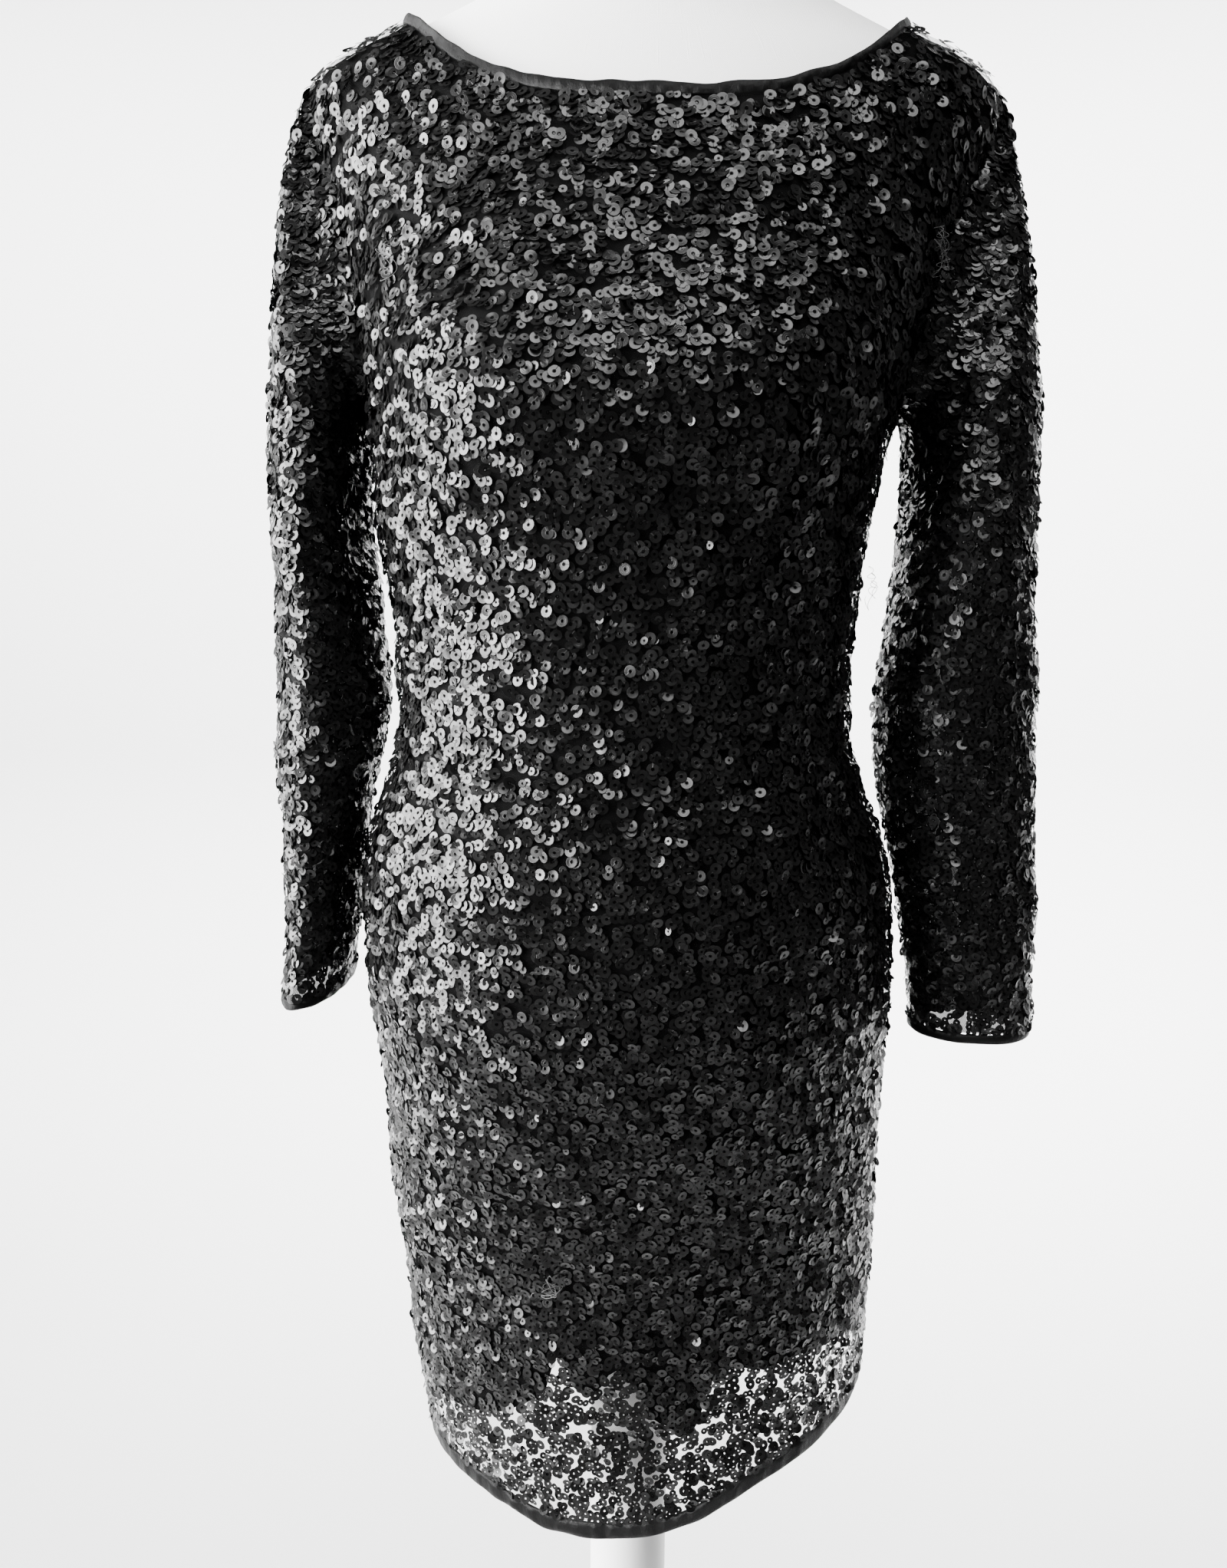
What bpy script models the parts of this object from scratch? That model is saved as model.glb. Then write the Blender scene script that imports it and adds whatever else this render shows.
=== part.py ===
"""Long-sleeved sequin cocktail dress with a boat neck, on a limbless dress form.

Metres, +Z up. The front faces -Y and the wearer's left is at +X. The origin is on the
floor, in the middle of the object's bounding box.

The form is a stack of sections, one row each in BODY. The lining and the dress lie on the
same sections, moved out along the form's normals by LAYERS. Each sleeve is a tube that
leaves its armhole and follows its own short table of sections down to the cuff.
"""

import math

import bmesh
import bpy
import numpy as np

# ---------------------------------------------------------------- driving sizes
FORM_X = -0.0145  # the form's axis, so that the sleeves reach equally far each side
NECK_END_Z = 1.3585  # the shoulder seam's inner end
SHOULDER_Z = 1.3370  # the shoulder seam's outer end
UNDERARM_Z = 1.1780
HEM_Z = 0.5280  # lower edge of the hem binding at the centre front
HEM_TILT = 0.090  # rise of the hem for each metre towards the wearer's left
NECK_DROP_FRONT = 0.050
NECK_DROP_BACK = 0.026
NECK_CURVE = 3.2  # how flat the boat neck runs between its ends
ARMHOLE_INSET = 0.035  # how far the armhole bows in, as a share of the half width

FORM_GAP = 0.0030  # form to lining
LINING_WALL = 0.0010
LAYER_GAP = 0.0004  # lining to dress
DRESS_WALL = 0.0014
SEAM_GAP = 0.0003
LAYERS = {
    "lining": (FORM_GAP, FORM_GAP + LINING_WALL),
    "dress": (
        FORM_GAP + LINING_WALL + LAYER_GAP,
        FORM_GAP + LINING_WALL + LAYER_GAP + DRESS_WALL,
    ),
}

NECK_BAND = 0.0040
HEM_BAND = 0.0110
CUFF_BAND = 0.0060
BAND_WALL = 0.0022

PANEL_COLUMNS = 18  # cells across the front and across the back
LOWER_ROWS = 11  # cells from the hem to the underarm
UPPER_ROWS = 8  # cells up the armhole
SHOULDER_COLUMNS = 3  # cells along each shoulder seam
CAP_ROWS = 5  # cells from the armhole to the upper arm
ARM_ROWS = 10  # cells from the upper arm to the cuff

FORM_BOTTOM_Z = 0.6450
FORM_TOP_Z = 1.4600
FORM_SIDES = 40
FORM_ROWS = 26
FORM_INSET = 0.0020  # the form's surface lies this far inside the sections
FORM_ROUND = 0.006  # rounding of the form's two flat ends

POLE_RADIUS = 0.0250
BASE_RADIUS = 0.1750
BASE_HEIGHT = 0.0140
BASE_BEVEL = 0.0030

# ---------------------------------------------------------------- sections
# Sections of the form. half is its half width, and front and back are measured from the
# axis to its surface. side is how far back the widest point lies. shift moves a section
# sideways, and square is the exponent of its outline (2 is an ellipse).
BODY_COLUMNS = ("z", "shift", "half", "front", "back", "side", "square")
BODY = (
    (0.500, 0.0100, 0.134, 0.068, 0.134, 0.033, 2.15),
    (0.560, 0.0085, 0.138, 0.066, 0.133, 0.031, 2.15),
    (0.640, 0.0050, 0.143, 0.068, 0.130, 0.027, 2.15),
    (0.720, 0.0012, 0.145, 0.077, 0.128, 0.020, 2.20),
    (0.800, -0.0012, 0.145, 0.094, 0.124, 0.012, 2.20),
    (0.870, -0.0045, 0.147, 0.107, 0.116, 0.004, 2.20),
    (0.930, -0.0065, 0.143, 0.110, 0.098, -0.004, 2.20),
    (1.000, -0.0085, 0.121, 0.106, 0.076, -0.012, 2.20),
    (1.060, -0.0090, 0.117, 0.106, 0.072, -0.014, 2.20),
    (1.120, -0.0100, 0.125, 0.114, 0.080, -0.010, 2.20),
    (1.190, -0.0050, 0.134, 0.126, 0.092, -0.002, 2.25),
    (1.245, -0.0010, 0.147, 0.108, 0.096, 0.002, 2.25),
    (1.290, 0.0020, 0.160, 0.088, 0.090, 0.004, 2.20),
    (1.320, 0.0040, 0.170, 0.076, 0.080, 0.004, 2.10),
    (1.338, 0.0040, 0.165, 0.068, 0.074, 0.004, 2.05),
    (1.354, 0.0040, 0.134, 0.060, 0.068, 0.004, 2.00),
    (1.374, 0.0040, 0.090, 0.054, 0.062, 0.005, 2.00),
    (1.394, 0.0040, 0.061, 0.050, 0.058, 0.006, 2.00),
    (1.425, 0.0040, 0.052, 0.046, 0.058, 0.006, 2.00),
    (1.470, 0.0040, 0.051, 0.045, 0.057, 0.006, 2.00),
)
BUST = {"z": 1.185, "apart": 0.076, "high": 0.055, "wide": 0.046, "out": 0.010}

# Sections of each sleeve's inside, from the upper arm to the cuff. x is outwards from
# the form's axis, across and deep are half sizes, and turn is in degrees.
SLEEVE_COLUMNS = ("z", "x", "y", "across", "deep", "turn")
SLEEVES = {
    "left": (
        (1.115, 0.1791, 0.004, 0.0325, 0.0560, 0.0),
        (1.060, 0.1793, 0.003, 0.0390, 0.0480, 0.0),
        (1.010, 0.1802, 0.002, 0.0435, 0.0410, 0.0),
        (0.960, 0.1838, 0.000, 0.0415, 0.0370, 0.0),
        (0.910, 0.1915, -0.002, 0.0370, 0.0330, -4.0),
        (0.865, 0.1963, -0.004, 0.0349, 0.0290, -6.0),
        (0.833, 0.1991, -0.006, 0.0336, 0.0240, -8.0),
    ),
    "right": (
        (1.115, 0.1753, 0.002, 0.0220, 0.0600, 0.0),
        (1.060, 0.1733, 0.002, 0.0262, 0.0500, 0.0),
        (1.015, 0.1732, 0.002, 0.0275, 0.0455, 2.0),
        (0.970, 0.1772, 0.002, 0.0212, 0.0450, 4.0),
        (0.925, 0.1813, 0.000, 0.0180, 0.0430, 6.0),
        (0.885, 0.1841, -0.002, 0.0150, 0.0415, 8.0),
        (0.856, 0.1875, -0.004, 0.0133, 0.0395, 10.0),
    ),
}

# How strongly a sleeve sets out from its armhole: at the front and back seam, at the
# underarm, and over each shoulder.
CAP_OUT = {"seam": 0.045, "underarm": 0.050, "left": 0.012, "right": 0.030}

# Largest folds of the sleeves: at height z and at an angle round the sleeve (0 faces the
# body, 90 the front, 180 outwards), deep into the tube, with its half height and width.
FOLD_COLUMNS = ("sleeve", "z", "angle", "deep", "high", "wide", "lean")
FOLDS = (
    ("left", 1.235, 70.0, 0.0040, 0.045, 26.0, 0.0),
    ("left", 1.060, 120.0, 0.0035, 0.030, 34.0, 300.0),
    ("left", 0.965, 70.0, 0.0040, 0.026, 34.0, -260.0),
    ("left", 0.900, 150.0, -0.0030, 0.028, 30.0, 200.0),
    ("right", 1.240, 75.0, 0.0045, 0.050, 26.0, 0.0),
    ("right", 1.040, 60.0, 0.0045, 0.028, 34.0, -320.0),
    ("right", 0.990, 140.0, -0.0035, 0.026, 34.0, 260.0),
    ("right", 0.905, 100.0, 0.0030, 0.026, 30.0, -200.0),
)

# The hem's own curve: how far it rises above its straight slope, by the distance from
# the form's axis (towards the wearer's left). It hangs lowest at the centre front.
HEM_COLUMNS = ("across", "up")
HEM_LINE = (
    (-0.150, 0.0170),
    (-0.097, 0.0160),
    (-0.048, -0.0010),
    (-0.007, -0.0050),
    (0.021, -0.0030),
    (0.069, 0.0155),
    (0.104, 0.0265),
    (0.150, 0.0420),
)

# Lower edge of the lining: how far across the panel (0 at the wearer's left, 1 at the
# right) and how high above the hem's lower edge. It rides up unevenly.
EDGE_COLUMNS = ("across", "above")
LINING_EDGE = {
    "front": (
        (0.00, 0.090),
        (0.21, 0.100),
        (0.33, 0.104),
        (0.385, 0.067),
        (0.45, 0.071),
        (0.50, 0.083),
        (0.54, 0.111),
        (0.60, 0.094),
        (0.665, 0.122),
        (0.70, 0.094),
        (0.80, 0.075),
        (1.00, 0.064),
    ),
    "back": (
        (0.00, 0.088),
        (0.20, 0.072),
        (0.38, 0.060),
        (0.55, 0.080),
        (0.75, 0.064),
        (1.00, 0.064),
    ),
}

COLOURS = {  # base colour, roughness, metallic
    "front": ((0.012, 0.012, 0.013), 0.45, 0.0),
    "back": ((0.013, 0.013, 0.014), 0.45, 0.0),
    "sleeve_left": ((0.016, 0.016, 0.017), 0.45, 0.0),
    "sleeve_right": ((0.016, 0.016, 0.018), 0.45, 0.0),
    "lining_front": ((0.006, 0.006, 0.006), 0.85, 0.0),
    "lining_back": ((0.007, 0.007, 0.007), 0.85, 0.0),
    "neck_binding": ((0.010, 0.010, 0.011), 0.32, 0.0),
    "hem_binding": ((0.010, 0.010, 0.011), 0.32, 0.0),
    "cuff_binding_left": ((0.011, 0.011, 0.012), 0.32, 0.0),
    "cuff_binding_right": ((0.011, 0.011, 0.012), 0.32, 0.0),
    "form_torso": ((0.80, 0.79, 0.77), 0.90, 0.0),
    "form_pole": ((0.82, 0.82, 0.81), 0.35, 0.0),
    "form_base": ((0.82, 0.82, 0.81), 0.35, 0.0),
}


# ---------------------------------------------------------------- the body's surface
def column(rows, names, name):
    return np.array([row[names.index(name)] for row in rows], float)


def smooth(at, places, values):
    """A cubic through the rows, with each slope taken from the rows on either side."""
    at = np.clip(np.asarray(at, float), places[0], places[-1])
    run = np.diff(places)
    rise = np.diff(values) / run
    slope = np.empty(len(places))
    slope[1:-1] = (rise[:-1] * run[1:] + rise[1:] * run[:-1]) / (run[:-1] + run[1:])
    slope[0], slope[-1] = rise[0], rise[-1]
    k = np.clip(np.searchsorted(places, at, side="right") - 1, 0, len(places) - 2)
    t = (at - places[k]) / run[k]
    return (
        (2 * t**3 - 3 * t**2 + 1) * values[k]
        + (t**3 - 2 * t**2 + t) * run[k] * slope[k]
        + (3 * t**2 - 2 * t**3) * values[k + 1]
        + (t**3 - t**2) * run[k] * slope[k + 1]
    )


def body(z, name):
    return smooth(
        z, column(BODY, BODY_COLUMNS, "z"), column(BODY, BODY_COLUMNS, name)
    )


def bust_lift(x, z):
    """How far the bust stands out beyond the section, x from the section's middle."""
    return sum(
        BUST["out"]
        * np.exp(
            -(((x - way * BUST["apart"]) / BUST["wide"]) ** 2)
            - ((z - BUST["z"]) / BUST["high"]) ** 2
        )
        for way in (-1, 1)
    )


def body_middle(z):
    return FORM_X + body(z, "shift")


def front_or_back(x, z, front):
    """The body's surface at x across and z up, on the front or on the back."""
    half, square, side = body(z, "half"), body(z, "square"), body(z, "side")
    across = x - body_middle(z)
    lift = (1 - np.clip(np.abs(across) / half, 0, 1) ** square) ** (1 / square)
    if front:
        y = side - (body(z, "front") + side + bust_lift(across, z)) * lift
    else:
        y = side + (body(z, "back") - side) * lift
    return np.stack(np.broadcast_arrays(x, y, z), -1)


def reach(points):
    """1 on the body's surface, less inside and more outside."""
    x, y, z = points[..., 0], points[..., 1], points[..., 2]
    across = x - body_middle(z)
    deep = y - body(z, "side")
    front = body(z, "front") + body(z, "side") + bust_lift(across, z)
    back = body(z, "back") - body(z, "side")
    square = body(z, "square")
    return (
        np.abs(across / body(z, "half")) ** square
        + np.abs(deep / np.where(deep < 0, front, back)) ** square
    )


def body_normals(points):
    step = 2e-4
    slope = np.stack(
        [
            reach(points + step * axis) - reach(points - step * axis)
            for axis in np.eye(3)
        ],
        -1,
    )
    return slope / np.linalg.norm(slope, axis=-1, keepdims=True)


# ---------------------------------------------------------------- panels
def evenly_across(z, front, cells):
    """x at even steps of arc length across the front or back at height z."""
    turn = np.linspace(0, math.pi, 361)
    x = body_middle(z) + body(z, "half") * np.cos(turn)
    points = front_or_back(x, np.full_like(x, z), front)
    ends = (0, -1)
    points[ends, 1] = body(z, "side")
    along = np.concatenate(
        [[0], np.cumsum(np.linalg.norm(np.diff(points, axis=0), axis=1))]
    )
    return np.interp(np.linspace(0, along[-1], cells + 1), along, x)


def hem_slope(x):
    return HEM_Z + HEM_TILT * (x - FORM_X)


def hem_height(x):
    """The hem's lower edge: its slope and its own curve."""
    across = column(HEM_LINE, HEM_COLUMNS, "across")
    up = column(HEM_LINE, HEM_COLUMNS, "up")
    return hem_slope(x) + smooth(x - FORM_X, across, up)


def top_edge(front):
    """x and z of a panel's top edge, from the wearer's left shoulder to the right."""
    z = np.linspace(SHOULDER_Z, NECK_END_Z, SHOULDER_COLUMNS + 1)
    seam = body(z, "half")
    neck_end = seam[-1]
    cells = PANEL_COLUMNS - 2 * SHOULDER_COLUMNS
    turn = np.linspace(0, math.pi, cells + 1)[1:-1]
    across = neck_end * (0.8 * np.cos(turn) + 0.2 * (1 - 2 * turn / math.pi))
    drop = NECK_DROP_FRONT if front else NECK_DROP_BACK
    neck_z = NECK_END_Z - drop * (1 - np.abs(across / neck_end) ** NECK_CURVE)
    x = np.concatenate([seam, across, -seam[::-1]])
    z = np.concatenate([z, neck_z, z[::-1]])
    return x + body_middle(z), z


def panel_points(front, lower_edge):
    """Points of the form's surface under one panel: rows from lower_edge up, and
    columns from the wearer's left to the right. lower_edge gives z from x."""
    rows = []
    top_x, top_z = top_edge(front)
    for row in range(LOWER_ROWS):
        share = row / LOWER_ROWS
        level = hem_height(FORM_X) * (1 - share) + UNDERARM_Z * share
        x = evenly_across(level, front, PANEL_COLUMNS)
        low = hem_height(x) + HEM_BAND + SEAM_GAP
        z = low * (1 - share) + UNDERARM_Z * share
        z = np.maximum(z, lower_edge(x) + 0.012 * row)
        middle, half = body_middle(level), body(level, "half")
        x = body_middle(z) + (x - middle) / half * body(z, "half")
        rows.append((x, z))
    base_x = evenly_across(UNDERARM_Z, front, PANEL_COLUMNS)
    base = (base_x - body_middle(UNDERARM_Z)) / body(UNDERARM_Z, "half")
    top = (top_x - body_middle(top_z)) / body(SHOULDER_Z, "half")
    for row in range(UPPER_ROWS + 1):
        share = 1 - (1 - row / UPPER_ROWS) ** 2
        edge_z = UNDERARM_Z + (SHOULDER_Z - UNDERARM_Z) * share
        edge = body(edge_z, "half") * (
            1 - ARMHOLE_INSET * math.sin(math.pi * share) ** 0.8
        )
        z = UNDERARM_Z + (top_z - UNDERARM_Z) * share
        x = body_middle(z) + edge * (base * (1 - share) + top * share)
        rows.append((x, z))
    points = np.stack([front_or_back(x, z, front) for x, z in rows])
    for row, (x, z) in enumerate(rows):
        low = row <= LOWER_ROWS
        for end in (0, -1):
            if low or row == len(rows) - 1:
                points[row, end, 1] = body(z[end], "side")
    for k in range(SHOULDER_COLUMNS + 1):
        for end in (k, -1 - k):
            points[-1, end, 1] = body(top_z[end], "side")
    return points


def pull_in(points, by):
    """The panel with its side, armhole and shoulder edges drawn in to leave a seam."""
    moved = points.copy()
    for edge, inner in ((0, 1), (-1, -2)):
        way = points[:, inner] - points[:, edge]
        way /= np.linalg.norm(way, axis=-1, keepdims=True)
        moved[:, edge] += by * way
    for k in range(SHOULDER_COLUMNS + 1):
        for end in (k, -1 - k):
            way = points[-2, end] - points[-1, end]
            moved[-1, end] += by * way / np.linalg.norm(way)
    return moved


# ---------------------------------------------------------------- sleeves
def sleeve_row(side, z, name):
    rows = SLEEVES[side][::-1]
    return smooth(
        z, column(rows, SLEEVE_COLUMNS, "z"), column(rows, SLEEVE_COLUMNS, name)
    )


def armhole(side):
    """The armhole on the form's surface: underarm, up the front, shoulder, down the back."""
    end = 0 if side == "left" else -1
    front = panel_points(True, hem_height)[LOWER_ROWS:, end]
    back = panel_points(False, hem_height)[LOWER_ROWS:, end]
    return np.concatenate([front, back[-2:0:-1]])


def sleeve_points(side):
    """The inside of a sleeve: rows from the armhole to the cuff, columns round it."""
    out = 1 if side == "left" else -1
    ring = armhole(side)
    count = len(ring)
    round_it = 2 * math.pi * np.arange(count) / count
    normals = body_normals(ring)
    under = np.clip(np.cos(round_it), 0, 1)[:, None] ** 2
    over = np.clip(-np.cos(round_it), 0, 1)[:, None]
    start_way = out * np.array([1.0, 0, 0]) + 0.30 * normals
    start_way[:, 2] -= (0.25 * over)[:, 0]
    start_way /= np.linalg.norm(start_way, axis=1, keepdims=True)
    along = np.roll(ring, -1, 0) - np.roll(ring, 1, 0)
    edge_way = np.cross(normals, along)
    edge_way *= np.sign(edge_way[:, :1] * out + 1e-9)
    edge_way /= np.linalg.norm(edge_way, axis=1, keepdims=True)
    start = ring + LAYERS["dress"][0] * normals
    start = start + (1 - under) * 3.0 * SEAM_GAP * edge_way
    start = start + under * np.array([0, 0, 0.0030])
    wall_way = (1 - under) * normals - under * np.array([0, 0, 1.0])
    wall_way /= np.linalg.norm(wall_way, axis=1, keepdims=True)

    def section(z):
        turn = math.radians(float(sleeve_row(side, z, "turn")))
        along = -np.cos(round_it) * sleeve_row(side, z, "across")
        deep = -np.sin(round_it) * sleeve_row(side, z, "deep")
        x = sleeve_row(side, z, "x") + along * math.cos(turn) - deep * math.sin(turn)
        y = sleeve_row(side, z, "y") + along * math.sin(turn) + deep * math.cos(turn)
        return np.stack([FORM_X + out * x, y, np.full(count, z)], -1)

    top_z = SLEEVES[side][0][0]
    cuff_z = SLEEVES[side][-1][0]
    end = section(top_z)
    length = np.linalg.norm(end - start, axis=1)[:, None]
    first = start_way * (
        CAP_OUT["seam"]
        + (CAP_OUT[side] - CAP_OUT["seam"]) * over
        + (CAP_OUT["underarm"] - CAP_OUT["seam"]) * under
    )
    last = np.array([0, 0, -1.0]) * length * 1.5
    rows = []
    for row in range(CAP_ROWS):
        t = row / CAP_ROWS
        rows.append(
            (2 * t**3 - 3 * t**2 + 1) * start
            + (t**3 - 2 * t**2 + t) * first
            + (3 * t**2 - 2 * t**3) * end
            + (t**3 - t**2) * last
        )
    for z in np.linspace(top_z, cuff_z, ARM_ROWS + 1):
        rows.append(section(z))
    points = np.stack(rows)
    degrees = np.degrees(round_it)[None, :]
    normals = tube_normals(points)
    for fold in FOLDS:
        name, z, angle, deep, high, wide, lean = fold
        if name != side:
            continue
        up = points[..., 2] - z
        off = (degrees - angle - lean * up + 180) % 360 - 180
        size = deep * np.exp(-((up / high) ** 2) - (off / wide) ** 2)
        size[0] = 0
        size[-1] *= 0.5
        points = points - size[..., None] * normals
    walls = tube_normals(points)
    for row, share in ((0, 1.0), (1, 0.5)):
        walls[row] = (1 - share) * walls[row] + share * wall_way
    walls /= np.linalg.norm(walls, axis=-1, keepdims=True)
    return points, walls


def tube_normals(points):
    """Outward normals of a grid whose columns close round a tube."""
    along = np.gradient(points, axis=0)
    around = np.roll(points, -1, 1) - np.roll(points, 1, 1)
    normals = np.cross(around, along)
    normals /= np.linalg.norm(normals, axis=-1, keepdims=True)
    outwards = points - points.mean(1, keepdims=True)
    ways = np.sign((normals * outwards).sum(-1).sum(1))
    return normals * ways[:, None, None]


# ---------------------------------------------------------------- solids
def material(name):
    colour, rough, metal = COLOURS[name]
    made = bpy.data.materials.new(name)
    made.use_nodes = True
    shader = made.node_tree.nodes["Principled BSDF"]
    shader.inputs["Base Color"].default_value = (*colour, 1)
    shader.inputs["Roughness"].default_value = rough
    shader.inputs["Metallic"].default_value = metal
    return made


def solid(name, grids, round_it):
    """One closed wall between an inner and an outer grid. round_it closes its columns."""
    inner, outer = (np.asarray(grid) for grid in grids)
    rows, columns = inner.shape[:2]
    shape = bmesh.new()
    layers = [
        [[shape.verts.new(point) for point in row] for row in grid]
        for grid in (inner, outer)
    ]
    cells = range(columns if round_it else columns - 1)
    for row in range(rows - 1):
        for k in cells:
            n = (k + 1) % columns
            for grid in layers:
                shape.faces.new(
                    (grid[row][k], grid[row][n], grid[row + 1][n], grid[row + 1][k])
                )
    a, b = layers
    for row in (0, rows - 1):
        for k in cells:
            n = (k + 1) % columns
            shape.faces.new((a[row][k], a[row][n], b[row][n], b[row][k]))
    if not round_it:
        for k in (0, columns - 1):
            for row in range(rows - 1):
                shape.faces.new((a[row][k], a[row + 1][k], b[row + 1][k], b[row][k]))
    bmesh.ops.triangulate(shape, faces=shape.faces, quad_method="SHORT_EDGE")
    bmesh.ops.recalc_face_normals(shape, faces=shape.faces)
    mesh = bpy.data.meshes.new(name)
    shape.to_mesh(mesh)
    shape.free()
    made = bpy.data.objects.new(name, mesh)
    bpy.context.scene.collection.objects.link(made)
    return finish(made, name)


def finish(made, name):
    made.name = name
    made.data.materials.clear()
    made.data.materials.append(material(name))
    made.data.shade_smooth()
    made.data.set_sharp_from_angle(angle=math.radians(40))
    return made


def panel(name, front, layer, lower_edge):
    base = panel_points(front, lower_edge)
    normals = body_normals(base)
    base = pull_in(base, 0.5 * SEAM_GAP + 0.00005)
    return solid(name, [base + out * normals for out in LAYERS[layer]], False)


def lining_edge(front):
    rows = LINING_EDGE["front" if front else "back"]
    across = column(rows, EDGE_COLUMNS, "across")
    above = column(rows, EDGE_COLUMNS, "above")

    def height(x):
        reach_x = x.max() - x.min()
        return hem_slope(x) + smooth((x.max() - x) / reach_x, across, above)

    return height


def band(name, edge, normals, way, deep, out, away):
    """A flat band that continues an edge: edge points, the body's or tube's normals
    there, and the way it runs on, away from the cloth by a seam's gap."""
    rows = [edge + (away + deep * t) * way for t in (0.0, 0.5, 1.0)]
    low, high = out
    grids = [
        np.stack([row + side * normals for row in rows]) for side in (low, high)
    ]
    return solid(name, grids, True)


def hem_band():
    levels = []
    for share in (0.0, 0.5, 1.0):
        ring = []
        for front in (True, False):
            x = evenly_across(HEM_Z, front, PANEL_COLUMNS)
            z = hem_height(x) + HEM_BAND * (1 - share)
            points = front_or_back(
                body_middle(z)
                + (x - body_middle(HEM_Z)) / body(HEM_Z, "half") * body(z, "half"),
                z,
                front,
            )
            for end in (0, -1):
                points[end, 1] = body(z[end], "side")
            ring.append(points[:-1] if front else points[:0:-1])
        levels.append(np.concatenate(ring))
    base = np.stack(levels)
    normals = body_normals(base)
    inner = LAYERS["dress"][0] - 0.5 * (BAND_WALL - DRESS_WALL)
    return solid(
        "hem_binding",
        [base + out * normals for out in (inner, inner + BAND_WALL)],
        True,
    )


def neck_band():
    first, last = SHOULDER_COLUMNS, PANEL_COLUMNS - SHOULDER_COLUMNS
    front = panel_points(True, hem_height)[-1, first : last + 1]
    back = panel_points(False, hem_height)[-1, first : last + 1]
    edge = np.concatenate([front, back[-2:0:-1]])
    normals = body_normals(edge)
    along = np.roll(edge, -1, 0) - np.roll(edge, 1, 0)
    way = np.cross(normals, along)
    way /= np.linalg.norm(way, axis=1, keepdims=True)
    inwards = edge.mean(0) + np.array([0, 0, 0.05]) - edge
    way *= np.sign((way * inwards).sum(1))[:, None]
    way = way + 0.6 * normals
    way /= np.linalg.norm(way, axis=1, keepdims=True)
    inner = LAYERS["lining"][1] - 0.0002
    return band(
        "neck_binding", edge, normals, way, NECK_BAND, (inner, inner + BAND_WALL), SEAM_GAP
    )


def sleeve(side):
    inside, normals = sleeve_points(side)
    solid("sleeve_" + side, [inside, inside + DRESS_WALL * normals], True)
    edge, out = inside[-1], normals[-1]
    down = np.array([0, 0, -1.0]) * np.ones_like(edge)
    thick = 0.5 * (BAND_WALL - DRESS_WALL)
    band(
        "cuff_binding_" + side,
        edge,
        out * [1, 1, 0],
        down,
        CUFF_BAND,
        (-thick, BAND_WALL - thick),
        SEAM_GAP + 0.0002,
    )


def torso():
    """The form: sections stacked from its flat bottom to its flat neck, ends rounded."""
    ends = (FORM_BOTTOM_Z, FORM_TOP_Z)
    heights = np.linspace(
        ends[0] + FORM_ROUND, ends[1] - FORM_ROUND, FORM_ROWS + 1
    )
    dense = np.linspace(1.302, 1.402, 9)
    heights = np.unique(
        np.round(np.concatenate([heights[(heights < 1.295) | (heights > 1.405)], dense]), 5)
    )
    rounding = [
        (FORM_ROUND * (1 - math.cos(a)), FORM_ROUND * (1 - math.sin(a)))
        for a in np.radians([0, 30, 60])
    ]
    rings = [(ends[0] + up, inwards) for up, inwards in rounding]
    rings += [(z, 0.0) for z in heights]
    rings += [(ends[1] - up, inwards) for up, inwards in rounding[::-1]]
    turn = 2 * math.pi * np.arange(FORM_SIDES) / FORM_SIDES
    shape = bmesh.new()
    loops = []
    for z, inwards in rings:
        level = np.full(FORM_SIDES, z)
        x = body_middle(z) + body(z, "half") * np.cos(turn)
        fore = front_or_back(x, level, True)
        aft = front_or_back(x, level, False)
        points = np.where((np.sin(turn) > 0)[:, None], fore, aft)
        points[np.abs(np.sin(turn)) < 1e-6, 1] = body(z, "side")
        normals = body_normals(points) * [1, 1, 0]
        points = points - (inwards + FORM_INSET) * normals
        loops.append([shape.verts.new(point) for point in points])
    for low, high in zip(loops, loops[1:]):
        for k in range(FORM_SIDES):
            n = (k + 1) % FORM_SIDES
            shape.faces.new((low[k], low[n], high[n], high[k]))
    shape.faces.new(loops[0][::-1])
    shape.faces.new(loops[-1])
    bmesh.ops.triangulate(shape, faces=shape.faces)
    bmesh.ops.recalc_face_normals(shape, faces=shape.faces)
    mesh = bpy.data.meshes.new("form_torso")
    shape.to_mesh(mesh)
    shape.free()
    made = bpy.data.objects.new("form_torso", mesh)
    bpy.context.scene.collection.objects.link(made)
    return finish(made, "form_torso")


def cylinder(name, radius, low, high, sides, bevel):
    bpy.ops.mesh.primitive_cylinder_add(
        vertices=sides,
        radius=radius,
        depth=high - low,
        location=(FORM_X, 0, 0.5 * (low + high)),
    )
    made = bpy.context.active_object
    if bevel:
        edge = made.modifiers.new("Bevel", "BEVEL")
        edge.width = bevel
        edge.segments = 2
        edge.limit_method = "ANGLE"
        edge.angle_limit = math.radians(60)
    return finish(made, name)


def main():
    for thing in list(bpy.data.objects):
        bpy.data.objects.remove(thing, do_unlink=True)
    panel("front", True, "dress", hem_height)
    panel("back", False, "dress", hem_height)
    panel("lining_front", True, "lining", lining_edge(True))
    panel("lining_back", False, "lining", lining_edge(False))
    for side in ("left", "right"):
        sleeve(side)
    neck_band()
    hem_band()
    torso()
    cylinder("form_base", BASE_RADIUS, 0, BASE_HEIGHT, 64, BASE_BEVEL)
    cylinder(
        "form_pole",
        POLE_RADIUS,
        BASE_HEIGHT + SEAM_GAP,
        FORM_BOTTOM_Z - SEAM_GAP,
        32,
        0,
    )


main()
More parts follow.
